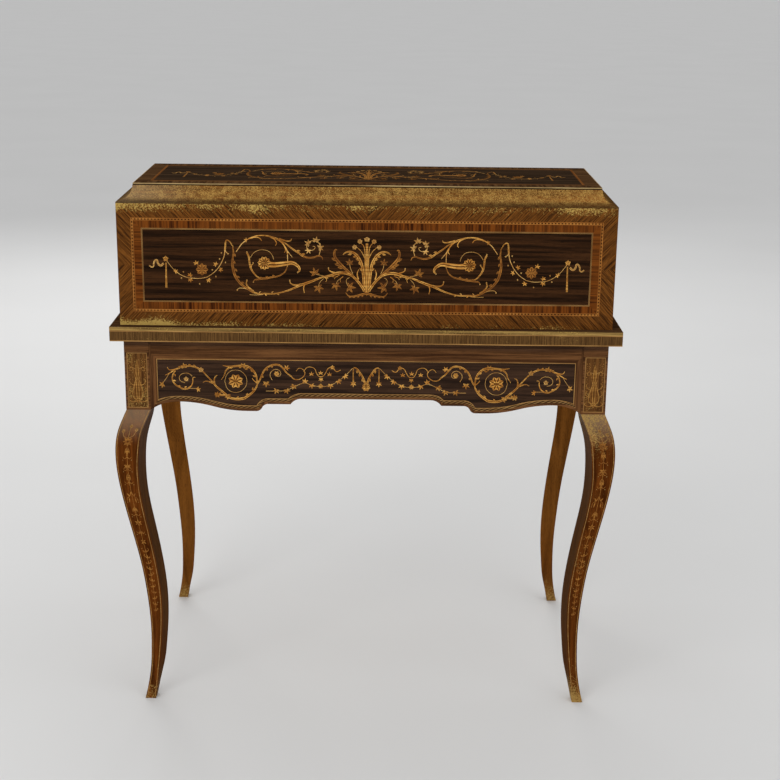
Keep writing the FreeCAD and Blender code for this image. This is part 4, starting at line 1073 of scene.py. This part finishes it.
for side, out, length in (("rear", REAR, plate_size.x + 2 * VENEER), ("right", RIGHT, plate_size.y),
                          ("left", LEFT, plate_size.y)):
    place = seat(out, plate_middle + out * abs(plate_size.dot(out)) / 2)
    lip(f"plate_{side}_lipping", length, place, plate_size.z)
for name in ("plate_left", "plate_right"):
    place, width, height = panel(name, FRONT)
    lip(f"{name}_front_lipping", width, place, height)

# Case. Two sides and a full back, dowelled to the plate. The back carries the chief panel: a slanting
# crossband quartered from its middle, a dotted stringing, a band of tulipwood, a light line and a field of
# dark rosewood with scrolling marquetry. The sides repeat the bands round their curved outline.
CROSSBAND = 0.0235
DOTTED = 0.0052
TULIP = 0.0122
INNER_LINE = 0.0007
SIDE_EASE = 0.006
CASE_BANDS = (CROSSBAND, DOTTED, TULIP, INNER_LINE, INNER_LINE, INNER_LINE)
SIDE_REACH = 0.034
SIDE_CROSSBAND = 0.0188
SIDE_TULIP = 0.01037
SIDE_BANDS = (SIDE_CROSSBAND - SIDE_EASE, DOTTED, SIDE_TULIP, INNER_LINE, INNER_LINE, INNER_LINE)
SLANT = math.radians(47)
case_wood = timber("case rosewood", (0.050, 0.020, 0.008), (0.130, 0.055, 0.020), figure=0.8)

crossband, spots, along = begin("slanting crossband", "UV")
wood = wood_grain(along, (0.010, 0.003, 0.001), (0.226, 0.079, 0.013), 5.6, 0.9)
place = spots.node.outputs["Object"]
spot = axes(place)
along_top = ramp(spot["Z"], 0.894, 0.921)
low_corner = times(ramp(spot["Z"], 0.752, 0.717), ramp(spot["X"], 0.02, 0.38))
along_foot = ramp(spot["Z"], 0.728, 0.715)
left_end = ramp(spot["X"], 0.404, 0.418)
patches = times(along_foot, 0.22)
for part, share in ((left_end, 0.09), (low_corner, 0.34), (along_top, 0.37)):
    patches = times(part, share, patches)
wear = times(patches, ramp(spot["Y"], 0.20, 0.24))
polish(waxed(wood["Color"], place, (0.52, 0.345, 0.090), wear), wood["Height"], 0.44, 0.2)

tulipwood, spots, along = begin("tulipwood", "UV")
wood = wood_grain(along, (0.020, 0.004, 0.001), (0.190, 0.051, 0.006), 2.0, 0.5)
place = spots.node.outputs["Object"]
leaf_joint = ramp(noise(place, 11.0, 1.0), 0.46, 0.6)
colour = mingle(times(leaf_joint, 0.32), wood["Color"], (0.180, 0.054, 0.008))
polish(waxed(colour, place, WAX_COLOUR, 0.0), wood["Height"], 0.42)

dotted_string, spots, along = begin("dotted stringing", "UV")
spot = axes(spots)
wood = wood_grain(along, (0.17, 0.056, 0.009), (0.44, 0.18, 0.036), 2.0, 0.2)
step = reckon("PINGPONG", times(spot["X"], 178.0), 0.5)
uneven = noise(spots, 170.0, 2.0)
from_middle = reckon("ABSOLUTE", spot["Y"])
dash = times(ramp(times(uneven, 0.4, step), 0.50, 0.40), ramp(from_middle, 0.0012, 0.0008))
colour = mingle(dash, wood["Color"], (0.030, 0.007, 0.002))
colour = mingle(ramp(from_middle, 0.0019, 0.0021), colour, (0.16, 0.048, 0.010))
polish(colour, wood["Height"], 0.45)

rosewood_field = timber("rosewood field", (0.0070, 0.0030, 0.0013), (0.056, 0.0215, 0.0070), read="UV",
                        pores=1.0, rough=0.46, wax=-0.08)
case_bands = (crossband, dotted_string, tulipwood, light_line, dark_line, light_line, rosewood_field)


def quartered(face):
    """A slanting grain that runs from each corner of a panel towards its middle."""
    middle = face.calc_center_median()
    return Vector((math.cos(SLANT), math.copysign(math.sin(SLANT), middle.x * middle.y)))


back_place, back_width, back_height = panel("case_back", REAR)
made = oblong(back_width, back_height)
bands(made, *CASE_BANDS)
scribe(made, ("x", 0), ("y", 0))
band_grain = (down_band, across_band, down_band, down_band, down_band, level)
leaf_of_veneer("case_back_veneer", made, (quartered, *band_grain), case_bands, flat(back_place))
dress(case_wood, "case_back", "case_side_left", "case_side_right")

# The back's marquetry, read off the left half of the photograph in tables like the apron's: ribbon, garland,
# scrolls and a vase of flowers.
BACK_STEMS = {
    "pale": (
        (2.0, 3.4, (149.2, 265.5), (152.6, 267), (154.2, 261.7), (156.5, 259.8), (158, 263.3),
         (160.3, 265.5), (163.7, 263.3)),
        (0.8, 0.9, (166.8, 261), (174.4, 270.1), (178.3, 273.2), (185.9, 277), (193.6, 278.2),
         (200.4, 278.4), (207.3, 277)),
        (0.9, 1.5, (207.3, 277), (213.5, 272.8), (218.8, 267.1), (221.9, 261.7), (224.2, 255.6),
         (224.9, 250.2)),
        (1.5, 0.8, (224.9, 250.2), (227, 253), (229, 253.8)),
        (0.9, 0.9, (237.2, 290.2), (238.2, 288.6), (242.9, 288.2), (248.5, 289.6)),
        (0.7, 0.7, (249.5, 294.6), (256, 295), (262.8, 294.6)),
        (1.2, 1.6, (236.2, 251.7), (238.8, 247.9), (241.8, 243.8), (245.4, 240.8)),
        (1.3, 1.0, (287.5, 254.5), (287.6, 260.7), (287.4, 266.8)),
        (2.0, 0.7, (286.7, 250.4), (289.3, 253.5), (292.3, 257.3)),
        (1.1, 0.8, (319.1, 255), (320.5, 248.9), (319.7, 244.4), (317.4, 241.5), (313.6, 240.6),
         (309.9, 241.5), (307.3, 243.8), (306.8, 247.2), (307.9, 250.5), (311.6, 250.4), (314.5, 248.9),
         (314.8, 246.6), (312.8, 246.4)),
        (0.7, 0.7, (250.5, 257.6), (253.6, 253), (258.2, 250.4), (263.8, 249.9), (268.9, 251.5),
         (272.4, 255.6), (273.7, 259.6)),
        (0.9, 0.9, (349.5, 262.6), (350.4, 268), (352.8, 273.6)),
        (0.7, 0.7, (315, 273.8), (319, 275), (323.7, 275.9)),
        (0.7, 0.7, (318.3, 287.4), (319.8, 282.6), (323.6, 278.6)),
        (0.7, 0.7, (335.8, 285), (337.5, 281), (340.4, 278.6)),
        (0.7, 0.7, (348.7, 286.5), (346.7, 283.4), (346.7, 279.4), (349.5, 277.6)),
    ),
    "gold": (
        (1.8, 3.0, (166, 262.5), (166.2, 275), (166.4, 287.7)),
        (2.8, 1.0, (224.9, 250.2), (225.3, 246), (225.5, 242.6), (226.5, 240.3), (229.5, 241.4),
         (231.8, 244.9), (233.3, 247.2)),
        (1.6, 2.6, (246.9, 280.6), (246.4, 284.1), (249, 287.7), (253.6, 291.3)),
        (2.6, 2.0, (253.6, 292.3), (258.7, 293.8), (264.3, 293.6), (269.4, 293.8), (276, 293.6),
         (281.1, 292.5)),
        (2.0, 4.4, (281.1, 292.5), (288.8, 290.2), (295.5, 287.4), (300.7, 285.1), (306.5, 283.2)),
        (4.4, 2.4, (306.5, 283.2), (312.2, 281.1), (318, 278.8), (322.6, 277.1)),
        (2.4, 5.0, (322.6, 277.1), (327.1, 276.3), (331.7, 275.2), (335.2, 273.8)),
        (5.0, 3.6, (335.2, 273.8), (339.8, 272.9), (346.7, 273.6), (352.4, 275.9)),
        (3.6, 4.6, (352.4, 275.9), (358.1, 281.7), (362.7, 288), (364.5, 291)),
        (2.2, 1.0, (335, 272.9), (330.6, 271.3), (328.8, 269.9), (328.5, 268.3)),
        (2.4, 0.9, (304.6, 284.4), (303.6, 288), (304.4, 292.8)),
        (1.0, 3.2, (289.8, 280.6), (290.6, 283.2), (295.4, 285), (301.5, 284.4)),
        (1.7, 1.8, (245.4, 240.8), (249, 238.5), (253.6, 236.7), (257.7, 235.7), (262.8, 235.4)),
        (1.8, 3.2, (262.8, 235.4), (267.3, 235.9), (271.9, 237.2), (276, 238.4), (279.1, 240.2)),
        (2.4, 1.5, (279.1, 240.2), (282.1, 242.8), (284.7, 246.4), (286.7, 249.9), (287.5, 254.5)),
        (1.7, 1.2, (249.5, 238.6), (254, 237.4), (257.7, 237.4), (260.2, 238.7), (261.5, 240.8)),
        (2.2, 1.0, (270.9, 237.2), (274, 239), (276, 241.8), (276.4, 243.6), (275.3, 245.6)),
        (2.8, 1.0, (279.1, 238.9), (282.7, 240), (287.8, 241), (290.8, 240.4), (291.6, 238.7)),
        (2.0, 0.8, (284.9, 247), (285.6, 249.9), (284.4, 252.7)),
        (1.6, 3.2, (280, 240.8), (285.2, 243.3), (289.8, 246.9), (293.9, 249.9), (299, 253.3),
         (303, 256.2)),
        (2.6, 2.8, (246.9, 252.7), (248.7, 256.6), (249.5, 262.7), (250.5, 267.8)),
        (2.8, 1.4, (250.5, 267.8), (253.6, 272.9), (257.7, 277), (259.8, 277.8)),
        (1.4, 1.0, (251, 267.8), (251.8, 264.9), (253.1, 263.7)),
        (9.4, 7.2, (269, 264.4), (274, 264.8), (280, 264.3), (286.5, 263.4)),
        (7.2, 1.6, (286.5, 263.4), (292, 262.9), (296, 264.6), (299.2, 268), (299.4, 270.6),
         (297.5, 272.4)),
        (3.6, 4.8, (364, 287), (363, 273), (361.4, 263.5), (357.4, 256)),
        (4.8, 1.2, (357.4, 256), (352.6, 252.4), (346.8, 252), (342.8, 254.7)),
        (1.1, 0.9, (364.6, 258), (361.4, 251.6), (357, 247.4)),
        (1.1, 0.9, (364.8, 252), (363.6, 246), (360.8, 243)),
        (3.0, 1.8, (367.6, 292), (367.6, 270), (367.4, 256), (367.6, 243.4)),
        (3.0, 1.2, (366, 292), (365.4, 276), (365.2, 262), (364.8, 252)),
        (2.2, 1.0, (358.4, 279.6), (357.2, 273.8), (358.6, 269.6)),
        (1.4, 0.7, (324.6, 277.4), (326.6, 279.2), (325.8, 282)),
        (1.4, 0.7, (338, 276.4), (335.4, 277.2), (334.2, 279)),
        (1.4, 0.7, (343.2, 276.6), (340.4, 279), (340.6, 282.2)),
    ),
    "brown": (
        (1.6, 4.4, (232.7, 246.9), (233.4, 252.5), (232.7, 258.6), (232.4, 263.7), (233.4, 270.3)),
        (4.4, 3.2, (233.4, 270.3), (235.2, 276), (238.8, 281.6), (242.9, 285.7), (248.5, 289.2),
         (253.6, 292.3)),
        (3.2, 2.4, (303, 256.2), (308.2, 257.6), (314, 257.2), (318, 255.8)),
        (2.4, 0.9, (318, 255.8), (320.3, 256.2), (322, 257.4), (322.8, 259.6)),
        (1.4, 2.6, (287.2, 266.8), (285.2, 271.4), (281.1, 274.9), (276, 276.8)),
        (2.6, 3.6, (276, 276.8), (270.9, 277.4), (266.5, 278.4), (262, 278.6)),
        (3.6, 1.0, (262, 278.6), (257.7, 279.5), (254.6, 280), (253.4, 281.8)),
        (2.4, 5.6, (353.6, 276), (348.5, 271.6), (343.8, 267.6), (339.6, 263.6)),
        (5.6, 1.4, (339.6, 263.6), (336, 259), (334.4, 255), (334.6, 251.4), (335.6, 249.7), (337, 250.2)),
        (4.2, 1.2, (366.8, 293.4), (360, 295), (353, 296.4), (348.5, 295.8), (345.6, 292.4)),
    ),
}
BACK_SPRIGS = {
    "gold": (
        (5.6, 40, 175.4, 271.6), (5.6, 70, 189.8, 275.6), (5.6, 280, 190.3, 279.4),
        (5.8, 300, 208.4, 279.8), (5.6, 140, 216, 264.6), (5.4, 340, 220.2, 269.6),
        (5.8, 100, 196.2, 263.6), (5.0, 150, 246.2, 240.4),
    ),
    "pale": (
        (8.0, 80, 316, 241), (8.0, 150, 308.6, 243.6), (7.0, 240, 308.6, 250.2), (8.0, 20, 319.6, 247.6),
    ),
    "brown": (
        (11.0, 105, 315, 273.4), (11.0, 285, 318.3, 287.2), (10.5, 280, 335.8, 284.8),
        (12.0, 355, 349.2, 287.2), (8.5, 95, 349.7, 263.4), (6.0, 270, 367, 292.4),
    ),
}
BACK_FLOWERS = {
    "gold": (
        (5.0, 5, 90, 165.6, 258.7), (11.4, 11, 10, 264.3, 263.2),
    ),
    "brown": (
        (10.5, 8, 0, 202, 269.4), (6.6, 7, 30, 264, 263.2),
    ),
    "pale": (
        (4.4, 6, 45, 354.7, 247.2), (4.4, 6, 20, 359.9, 241.5), (4.2, 5, 90, 367.6, 239.5),
    ),
}
BACK_FRINGES = {
    "brown": (
        (1, 7.0, 3.6, 5, (233.2, 250), (232.5, 262), (235.2, 276), (242.9, 285.7)),
        (1, 9.4, 5.0, 4, (351, 274), (343.8, 267.6), (339.6, 263.6), (335.4, 257)),
        (-1, 5.0, 2.8, 3, (278, 276), (268, 278), (259, 279.3)),
        (1, 4.6, 2.4, 4, (365, 294.6), (357, 296), (348.6, 296)),
    ),
    "pale": (
        (1, 4.6, 1.7, 2, (254, 292.6), (264.3, 293.4), (279, 293)),
    ),
    "gold": (
        (-1, 4.8, 1.9, 2, (260, 293.6), (270, 293.8), (284, 292.4)),
        (-1, 5.4, 2.6, 3, (322.6, 277.1), (331.7, 275.4), (339.8, 273.2)),
        (1, 6.6, 3.4, 5, (363, 273), (361.4, 263.5), (357.4, 256), (349, 252.2)),
        (1, 6.5, 3.4, 2, (293.9, 249.9), (299, 253.3), (304, 256.4)),
    ),
}
BACK_BERRIES = ((183.4, 271.8), (181.5, 278), (199.7, 283.9), (212.3, 269.8), (219.6, 259), (225.5, 262.5),
                (215.9, 276.6), (221.5, 252.9), (228, 253.7), (237.2, 290.2), (253.1, 263), (297.6, 272.4),
                (246.9, 252), (246.9, 280.2), (253.4, 282), (289.8, 280.4), (328.5, 268))
back_half_design = drawn_from_photo(back_place, BACK_STEMS, BACK_SPRIGS, BACK_FLOWERS, BACK_FRINGES)
back_half_design += [berry("pale", spot, 2.6) for spot in traced(BACK_BERRIES, back_place)]
back_design = mirrored(back_half_design)
inlay("case_back_marquetry", back_design, flat(back_place))

# The case's sides carry the inner scrolls of the same design, drawn smaller and moved towards the rear.
SIDE_DESIGN = (-0.222, 0.004)
SIDE_SHIFT = 0.048
SIDE_DROP = -0.004
SIDE_SCALE = (0.72, 0.80)
side_design = mirrored(within(back_half_design, *SIDE_DESIGN))
for name, out in (("case_side_right", RIGHT), ("case_side_left", LEFT)):
    place = panel(name, out)[0]
    place.translation = (place.translation.x, 0, back_place.translation.z)
    made = face_of(name, place)
    eased(made, SIDE_EASE, SIDE_REACH)
    bands(made, *SIDE_BANDS)
    leaf_of_veneer(f"{name}_veneer", made, (across_band, *band_grain), case_bands, flat(place))
    inlay(f"{name}_marquetry", shifted(side_design, SIDE_SHIFT * out.x, SIDE_DROP, *SIDE_SCALE), flat(place))

# Top. A core board with four mitred cavetto mouldings round it, and a thin leaf over all. The mouldings are
# rubbed to a mottled gold. The leaf is crossbanded, lined in orange and holds the same marquetry as the back.
TOP_BORDER = 0.0245
TOP_LINE = 0.0042
TOP_EASE = 0.003
TOP_SCALE = (0.94, 1.22)
cove_wood, spots, along = begin("rubbed moulding")
wood = wood_grain(along, (0.080, 0.027, 0.006), (0.25, 0.094, 0.020), 0.9, 0.4)
clouds = noise(spots, 85.0, 4.0, Roughness=0.7)
rubbing = noise(spots, 600.0, 4.0, Roughness=0.75)
rubbed = ramp(times(clouds, 0.45, rubbing), 0.64, 0.85)
specks = ramp(noise(spots, 640.0, 3.0), 0.55, 0.64)
spot = axes(spots)
# Painted highlight: the left end of the moulding is paled towards cream.
left_end = ramp(spot["X"], 0.26, 0.41)
# Painted shade: a dark band along the foot of the moulding, where it meets the case.
cove_foot_painted_shade = ramp(spot["Z"], 0.9315, 0.9230)
colour = wood["Color"]
for part, share, tint in ((rubbed, 0.9, (0.49, 0.292, 0.076)), (specks, 0.65, (0.055, 0.027, 0.012)),
                          (left_end, 0.3, (0.42, 0.33, 0.20)), (cove_foot_painted_shade, 0.74, (0.022, 0.010, 0.005))):
    colour = mingle(times(part, share), colour, tint)
polish(colour, wood["Height"], 0.4, 0.2, shine=0.0)
dress(cove_wood, "cornice_front", "cornice_rear", "cornice_left", "cornice_right")

top_edge, spots, along = begin("worn top edge with painted shade")
wood = wood_grain(along, (0.11, 0.055, 0.017), (0.60, 0.43, 0.19), 1.1, 0.4)
# Painted shade: the foot of the leaf's edge, over the moulding, is darkened.
leaf_edge_painted_shade = ramp(axes(spots)["Z"], 0.9512, 0.9506)
polish(mingle(leaf_edge_painted_shade, wood["Color"], (0.015, 0.008, 0.004)), wood["Height"], 0.45)
DULL = {"read": "UV", "rough": 0.6, "shine": 0.0}
top_band = timber("top crossband", (0.034, 0.016, 0.007), (0.100, 0.050, 0.020), pores=0.8, **DULL)
top_line = timber("orange line", (0.095, 0.032, 0.008), (0.19, 0.073, 0.019), figure=2.0, pores=0.2, **DULL)
top_field = timber("top rosewood", (0.013, 0.008, 0.005), (0.052, 0.030, 0.016), pores=0.8, **DULL)
top_inlay_woods = inlay_set(
    "top", ((0.40, 0.19, 0.045), (0.22, 0.09, 0.020)), ((0.22, 0.095, 0.022), (0.11, 0.045, 0.011)),
    ((0.44, 0.24, 0.070), (0.26, 0.13, 0.034)), shine=0.0)
dress(top_edge, "top_leaf")
top_place, top_width, top_depth = panel("top_leaf", UP, LEFT)
made = oblong(top_width - TOP_EASE, top_depth - TOP_EASE)
bands(made, TOP_BORDER, TOP_LINE)
leaf_of_veneer("top_veneer", made, (across_band, down_band, level), (top_band, top_line, top_field),
               flat(top_place))
inlay("top_marquetry", shifted(back_design, 0, 0, *TOP_SCALE), flat(top_place), woods=top_inlay_woods)

# Nest. A bed across the case with a rack of satin birch on it: two small drawers under five pigeonholes. Each
# drawer front is edged with a dark line.
FACING_EASE = 0.001
FACING_BORDER = 0.004
FACING_LINE = 0.0012
birch = timber("satin birch", (0.40, 0.235, 0.10), (0.60, 0.40, 0.20), figure=1.4, pores=0.25, rough=0.4)
birch_upright = timber("satin birch upright", (0.38, 0.22, 0.095), (0.58, 0.38, 0.19), turn=UPRIGHT_GRAIN,
                       figure=1.4, pores=0.25, rough=0.4)
birch_leaf = timber("satin birch front", (0.42, 0.25, 0.11), (0.64, 0.43, 0.22), read="UV", figure=1.8,
                    pores=0.2, rough=0.38)
dress(birch, "nest_bed", "nest_top", "nest_shelf", "nest_back", "small_drawer_front_left",
      "small_drawer_front_right", "small_drawer_tray_left", "small_drawer_tray_right")
dress(birch_upright, "nest_end_left", "nest_end_right", "nest_dividers")
for side in ("left", "right"):
    place, width, height = panel(f"small_drawer_front_{side}", FRONT)
    made = oblong(width - FACING_EASE, height - FACING_EASE)
    bands(made, FACING_BORDER, FACING_LINE)
    leaf_of_veneer(f"small_drawer_{side}_facing", made, (across_band, down_band, level),
                   (birch_leaf, dark_line, birch_leaf), flat(place), f"small_drawer_{side}")

# Cylinder fall. A shell of curved staves on a stout lower rail, hung on iron arms. Its whole outside is
# veneered as the back of the case is, and the rail is lined off with a bead of boxwood.
FALL = "cylinder"
FALL_STEPS = 48
FALL_FOOT = math.radians(5.2)
FALL_HEAD = math.radians(84)
FALL_EASE = 0.001
FALL_SCALE = (0.94, 1.36)
BEAD_WIDTH = 2.4
BEAD_END = 0.002
BEAD_DROP = 0.001
pivot = Vector((0, -0.035, 0.730))
fall_low, fall_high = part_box("cylinder_shell")
fall_radius = pivot.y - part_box("cylinder_rail")[0].y
fall_middle = (FALL_FOOT + FALL_HEAD) / 2
fall_height = (FALL_HEAD - FALL_FOOT) * fall_radius


def round_fall(across, up, out):
    """Lays a drawing round the fall: across, up along the curve from its middle, and out."""
    turn = fall_middle + up / fall_radius
    reach = fall_radius + VENEER + out
    return Vector((across, pivot.y - reach * math.cos(turn), pivot.z + reach * math.sin(turn)))


made = oblong(fall_high.x - fall_low.x - FALL_EASE, fall_height)
bands(made, *CASE_BANDS)
scribe(made, ("x", 0), *[("y", fall_height * (step / FALL_STEPS - 0.5)) for step in range(1, FALL_STEPS)])
leaf_of_veneer("cylinder_veneer", made, (quartered, *band_grain), case_bands, round_fall, FALL)
inlay("cylinder_marquetry", shifted(back_design, 0, 0, *FALL_SCALE), round_fall, FALL)
bead = [(share * (fall_high.x - BEAD_END), -fall_height / 2 - BEAD_DROP) for share in (-1, -0.5, 0, 0.5, 1)]
inlay("cylinder_bead", [strip("gold", bead, BEAD_WIDTH, BEAD_WIDTH)], round_fall, FALL)
dress(case_wood, "cylinder_shell", "cylinder_rail")

# Brass. Turned knobs, round keyhole plates and the bushes of the pivot pins, let into the wood. They were
# polished long ago and have dulled in the hollows.
brass, spots, along = begin("dulled brass")
tarnish = ramp(noise(spots, 130.0, 5.0), 0.42, 0.68)
coat(Base_Color=mingle(tarnish, (0.76, 0.53, 0.20), (0.42, 0.26, 0.085)), Metallic=1.0,
     Roughness=times(tarnish, 0.24, 0.2))
dress(brass, "cylinder_knobs", "cylinder_escutcheon", "slide_knobs", "drawer_escutcheon",
      "small_drawer_knob_left", "small_drawer_knob_right", "pivot_bushes")

# Writing slide. A mahogany board that runs in the plate's grooves, with a cross-grained lip and a panel of
# red hide let in flush. Two gilt lines are tooled round the hide.
SLIDE = "writing_slide"
GILT_MARGIN = 0.010
GILT_LINE = 0.0011
GILT_GAP = 0.0035
GILT_THICK = 0.00012
slide_wood = timber("slide mahogany", (0.105, 0.036, 0.012), (0.25, 0.105, 0.038), figure=1.2, pores=0.6)
dress(slide_wood, "slide_board", "slide_lip")
place, width, height = panel("slide_lip", FRONT)
lip("slide_lip_veneer", width, place, height, SLIDE)

hide, spots, along = begin("red hide")
pebbles = add(home(spots), "TexVoronoi", Vector=spots, Scale=620.0).outputs["Distance"]
rubbed = noise(spots, 14.0, 5.0)
hide_colour = mingle(ramp(rubbed, 0.38, 0.66), (0.135, 0.022, 0.013), (0.235, 0.055, 0.030))
hide_colour = mingle(ramp(pebbles, 0.35, 0.7), hide_colour, (0.06, 0.010, 0.007))
coat(Base_Color=hide_colour, Roughness=times(rubbed, -0.25, 0.66), Normal=bump(pebbles, 0.25, 0.0004))
dress(hide, "slide_leather")

gilding, spots, along = begin("gilt tooling")
thin = ramp(noise(spots, 160.0, 3.0), 0.40, 0.62)
coat(Base_Color=mingle(thin, (0.70, 0.46, 0.14), (0.36, 0.16, 0.05)), Metallic=times(thin, -0.5, 0.85),
     Roughness=0.36)
hide_place, hide_width, hide_depth = panel("slide_leather", UP, RIGHT)
made = oblong(hide_width - 2 * GILT_MARGIN, hide_depth - 2 * GILT_MARGIN)
bands(made, GILT_LINE, GILT_GAP, GILT_LINE)
bmesh.ops.delete(made, geom=[face for face in made.faces if face.material_index % 2], context="FACES")
for face in made.faces:
    face.material_index = 0
tooling = leaf_of_veneer("slide_tooling", made, (down_band,), (gilding,), flat(hide_place, GILT_THICK), SLIDE)
tooling.modifiers["thickness"].thickness = GILT_THICK

# Frieze drawer. An oak box behind a front that is shaped and veneered like the back apron. It slides on the
# two runners, and a round keyhole plate sits in the middle of its marquetry.
DRAWER = "frieze_drawer"
FRONT_SCALE = 0.995
front_low, front_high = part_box("drawer_front")
front_place = seat(FRONT, (0, front_low.y, 0))
dress(frieze_wood, "drawer_front")
keyhole_height = (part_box("drawer_escutcheon")[0].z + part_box("drawer_escutcheon")[1].z) / 2
made = face_of("apron_rear", rear_place)
bmesh.ops.scale(made, vec=(front_high.x / POST_INNER, 1, 1), verts=made.verts)
bmesh.ops.bisect_plane(made, geom=everything(made), plane_co=(0, front_high.z, 0), plane_no=(0, 1, 0),
                       clear_outer=True)
apron_veneer("drawer_front_veneer", made, front_place, front_high.x - FIELD_MARGIN, DRAWER, keyhole_height)
clear_of_plate = [(tone, points) for tone, points in apron_design
                  if max(point[1] for point in points) < keyhole_height
                  or min(abs(point[0]) for point in points) > 2 * KEYHOLE_HALF]
inlay("drawer_front_marquetry", shifted(clear_of_plate, 0, 0, FRONT_SCALE), flat(front_place), DRAWER)
dress(oak, "drawer_back", "drawer_bottom")
dress(oak_deep, "drawer_side_left", "drawer_side_right")

# Studio. A plain pale floor and soft light from three large lamps, two on the photograph's side and one on
# the sitter's. None of this belongs to the desk.
FLOOR_SIZE = 60
LAMPS_AIM = Vector((0, 0, 0.55))
floor_mesh = bpy.data.meshes.new("floor")
made = bmesh.new()
bmesh.ops.create_grid(made, x_segments=1, y_segments=1, size=FLOOR_SIZE)
made.to_mesh(floor_mesh)
made.free()
floor = bpy.data.objects.new("floor", floor_mesh)
floor_paint, spots, along = begin("pale floor")
cast = noise(spots, 1.5, 2.0)
coat(Base_Color=mingle(cast, (0.66, 0.66, 0.65), (0.70, 0.70, 0.69)), Roughness=0.7, Specular_IOR_Level=0.2)
floor_mesh.materials.append(floor_paint)
bpy.context.scene.collection.objects.link(floor)

# Lamps: name, place, width in metres and power in watts.
LAMPS = (
    ("key", (1.8, 3.2, 2.9), 2.4, 46),
    ("fill", (-2.8, 2.6, 1.7), 2.6, 18),
    ("front", (0.8, -3.4, 2.8), 2.6, 50),
)
for name, spot, size, power in LAMPS:
    lamp = bpy.data.lights.new(name, "AREA")
    lamp.size = size
    lamp.energy = power
    holder = bpy.data.objects.new(name, lamp)
    holder.location = spot
    holder.rotation_euler = (LAMPS_AIM - Vector(spot)).to_track_quat("-Z", "Y").to_euler()
    bpy.context.scene.collection.objects.link(holder)
sky = bpy.data.worlds.new("studio")
sky.use_nodes = True
sky.node_tree.nodes["Background"].inputs["Color"].default_value = (0.80, 0.80, 0.81, 1)
sky.node_tree.nodes["Background"].inputs["Strength"].default_value = 0.9
bpy.context.scene.world = sky
bpy.context.scene.view_settings.view_transform = "Standard"
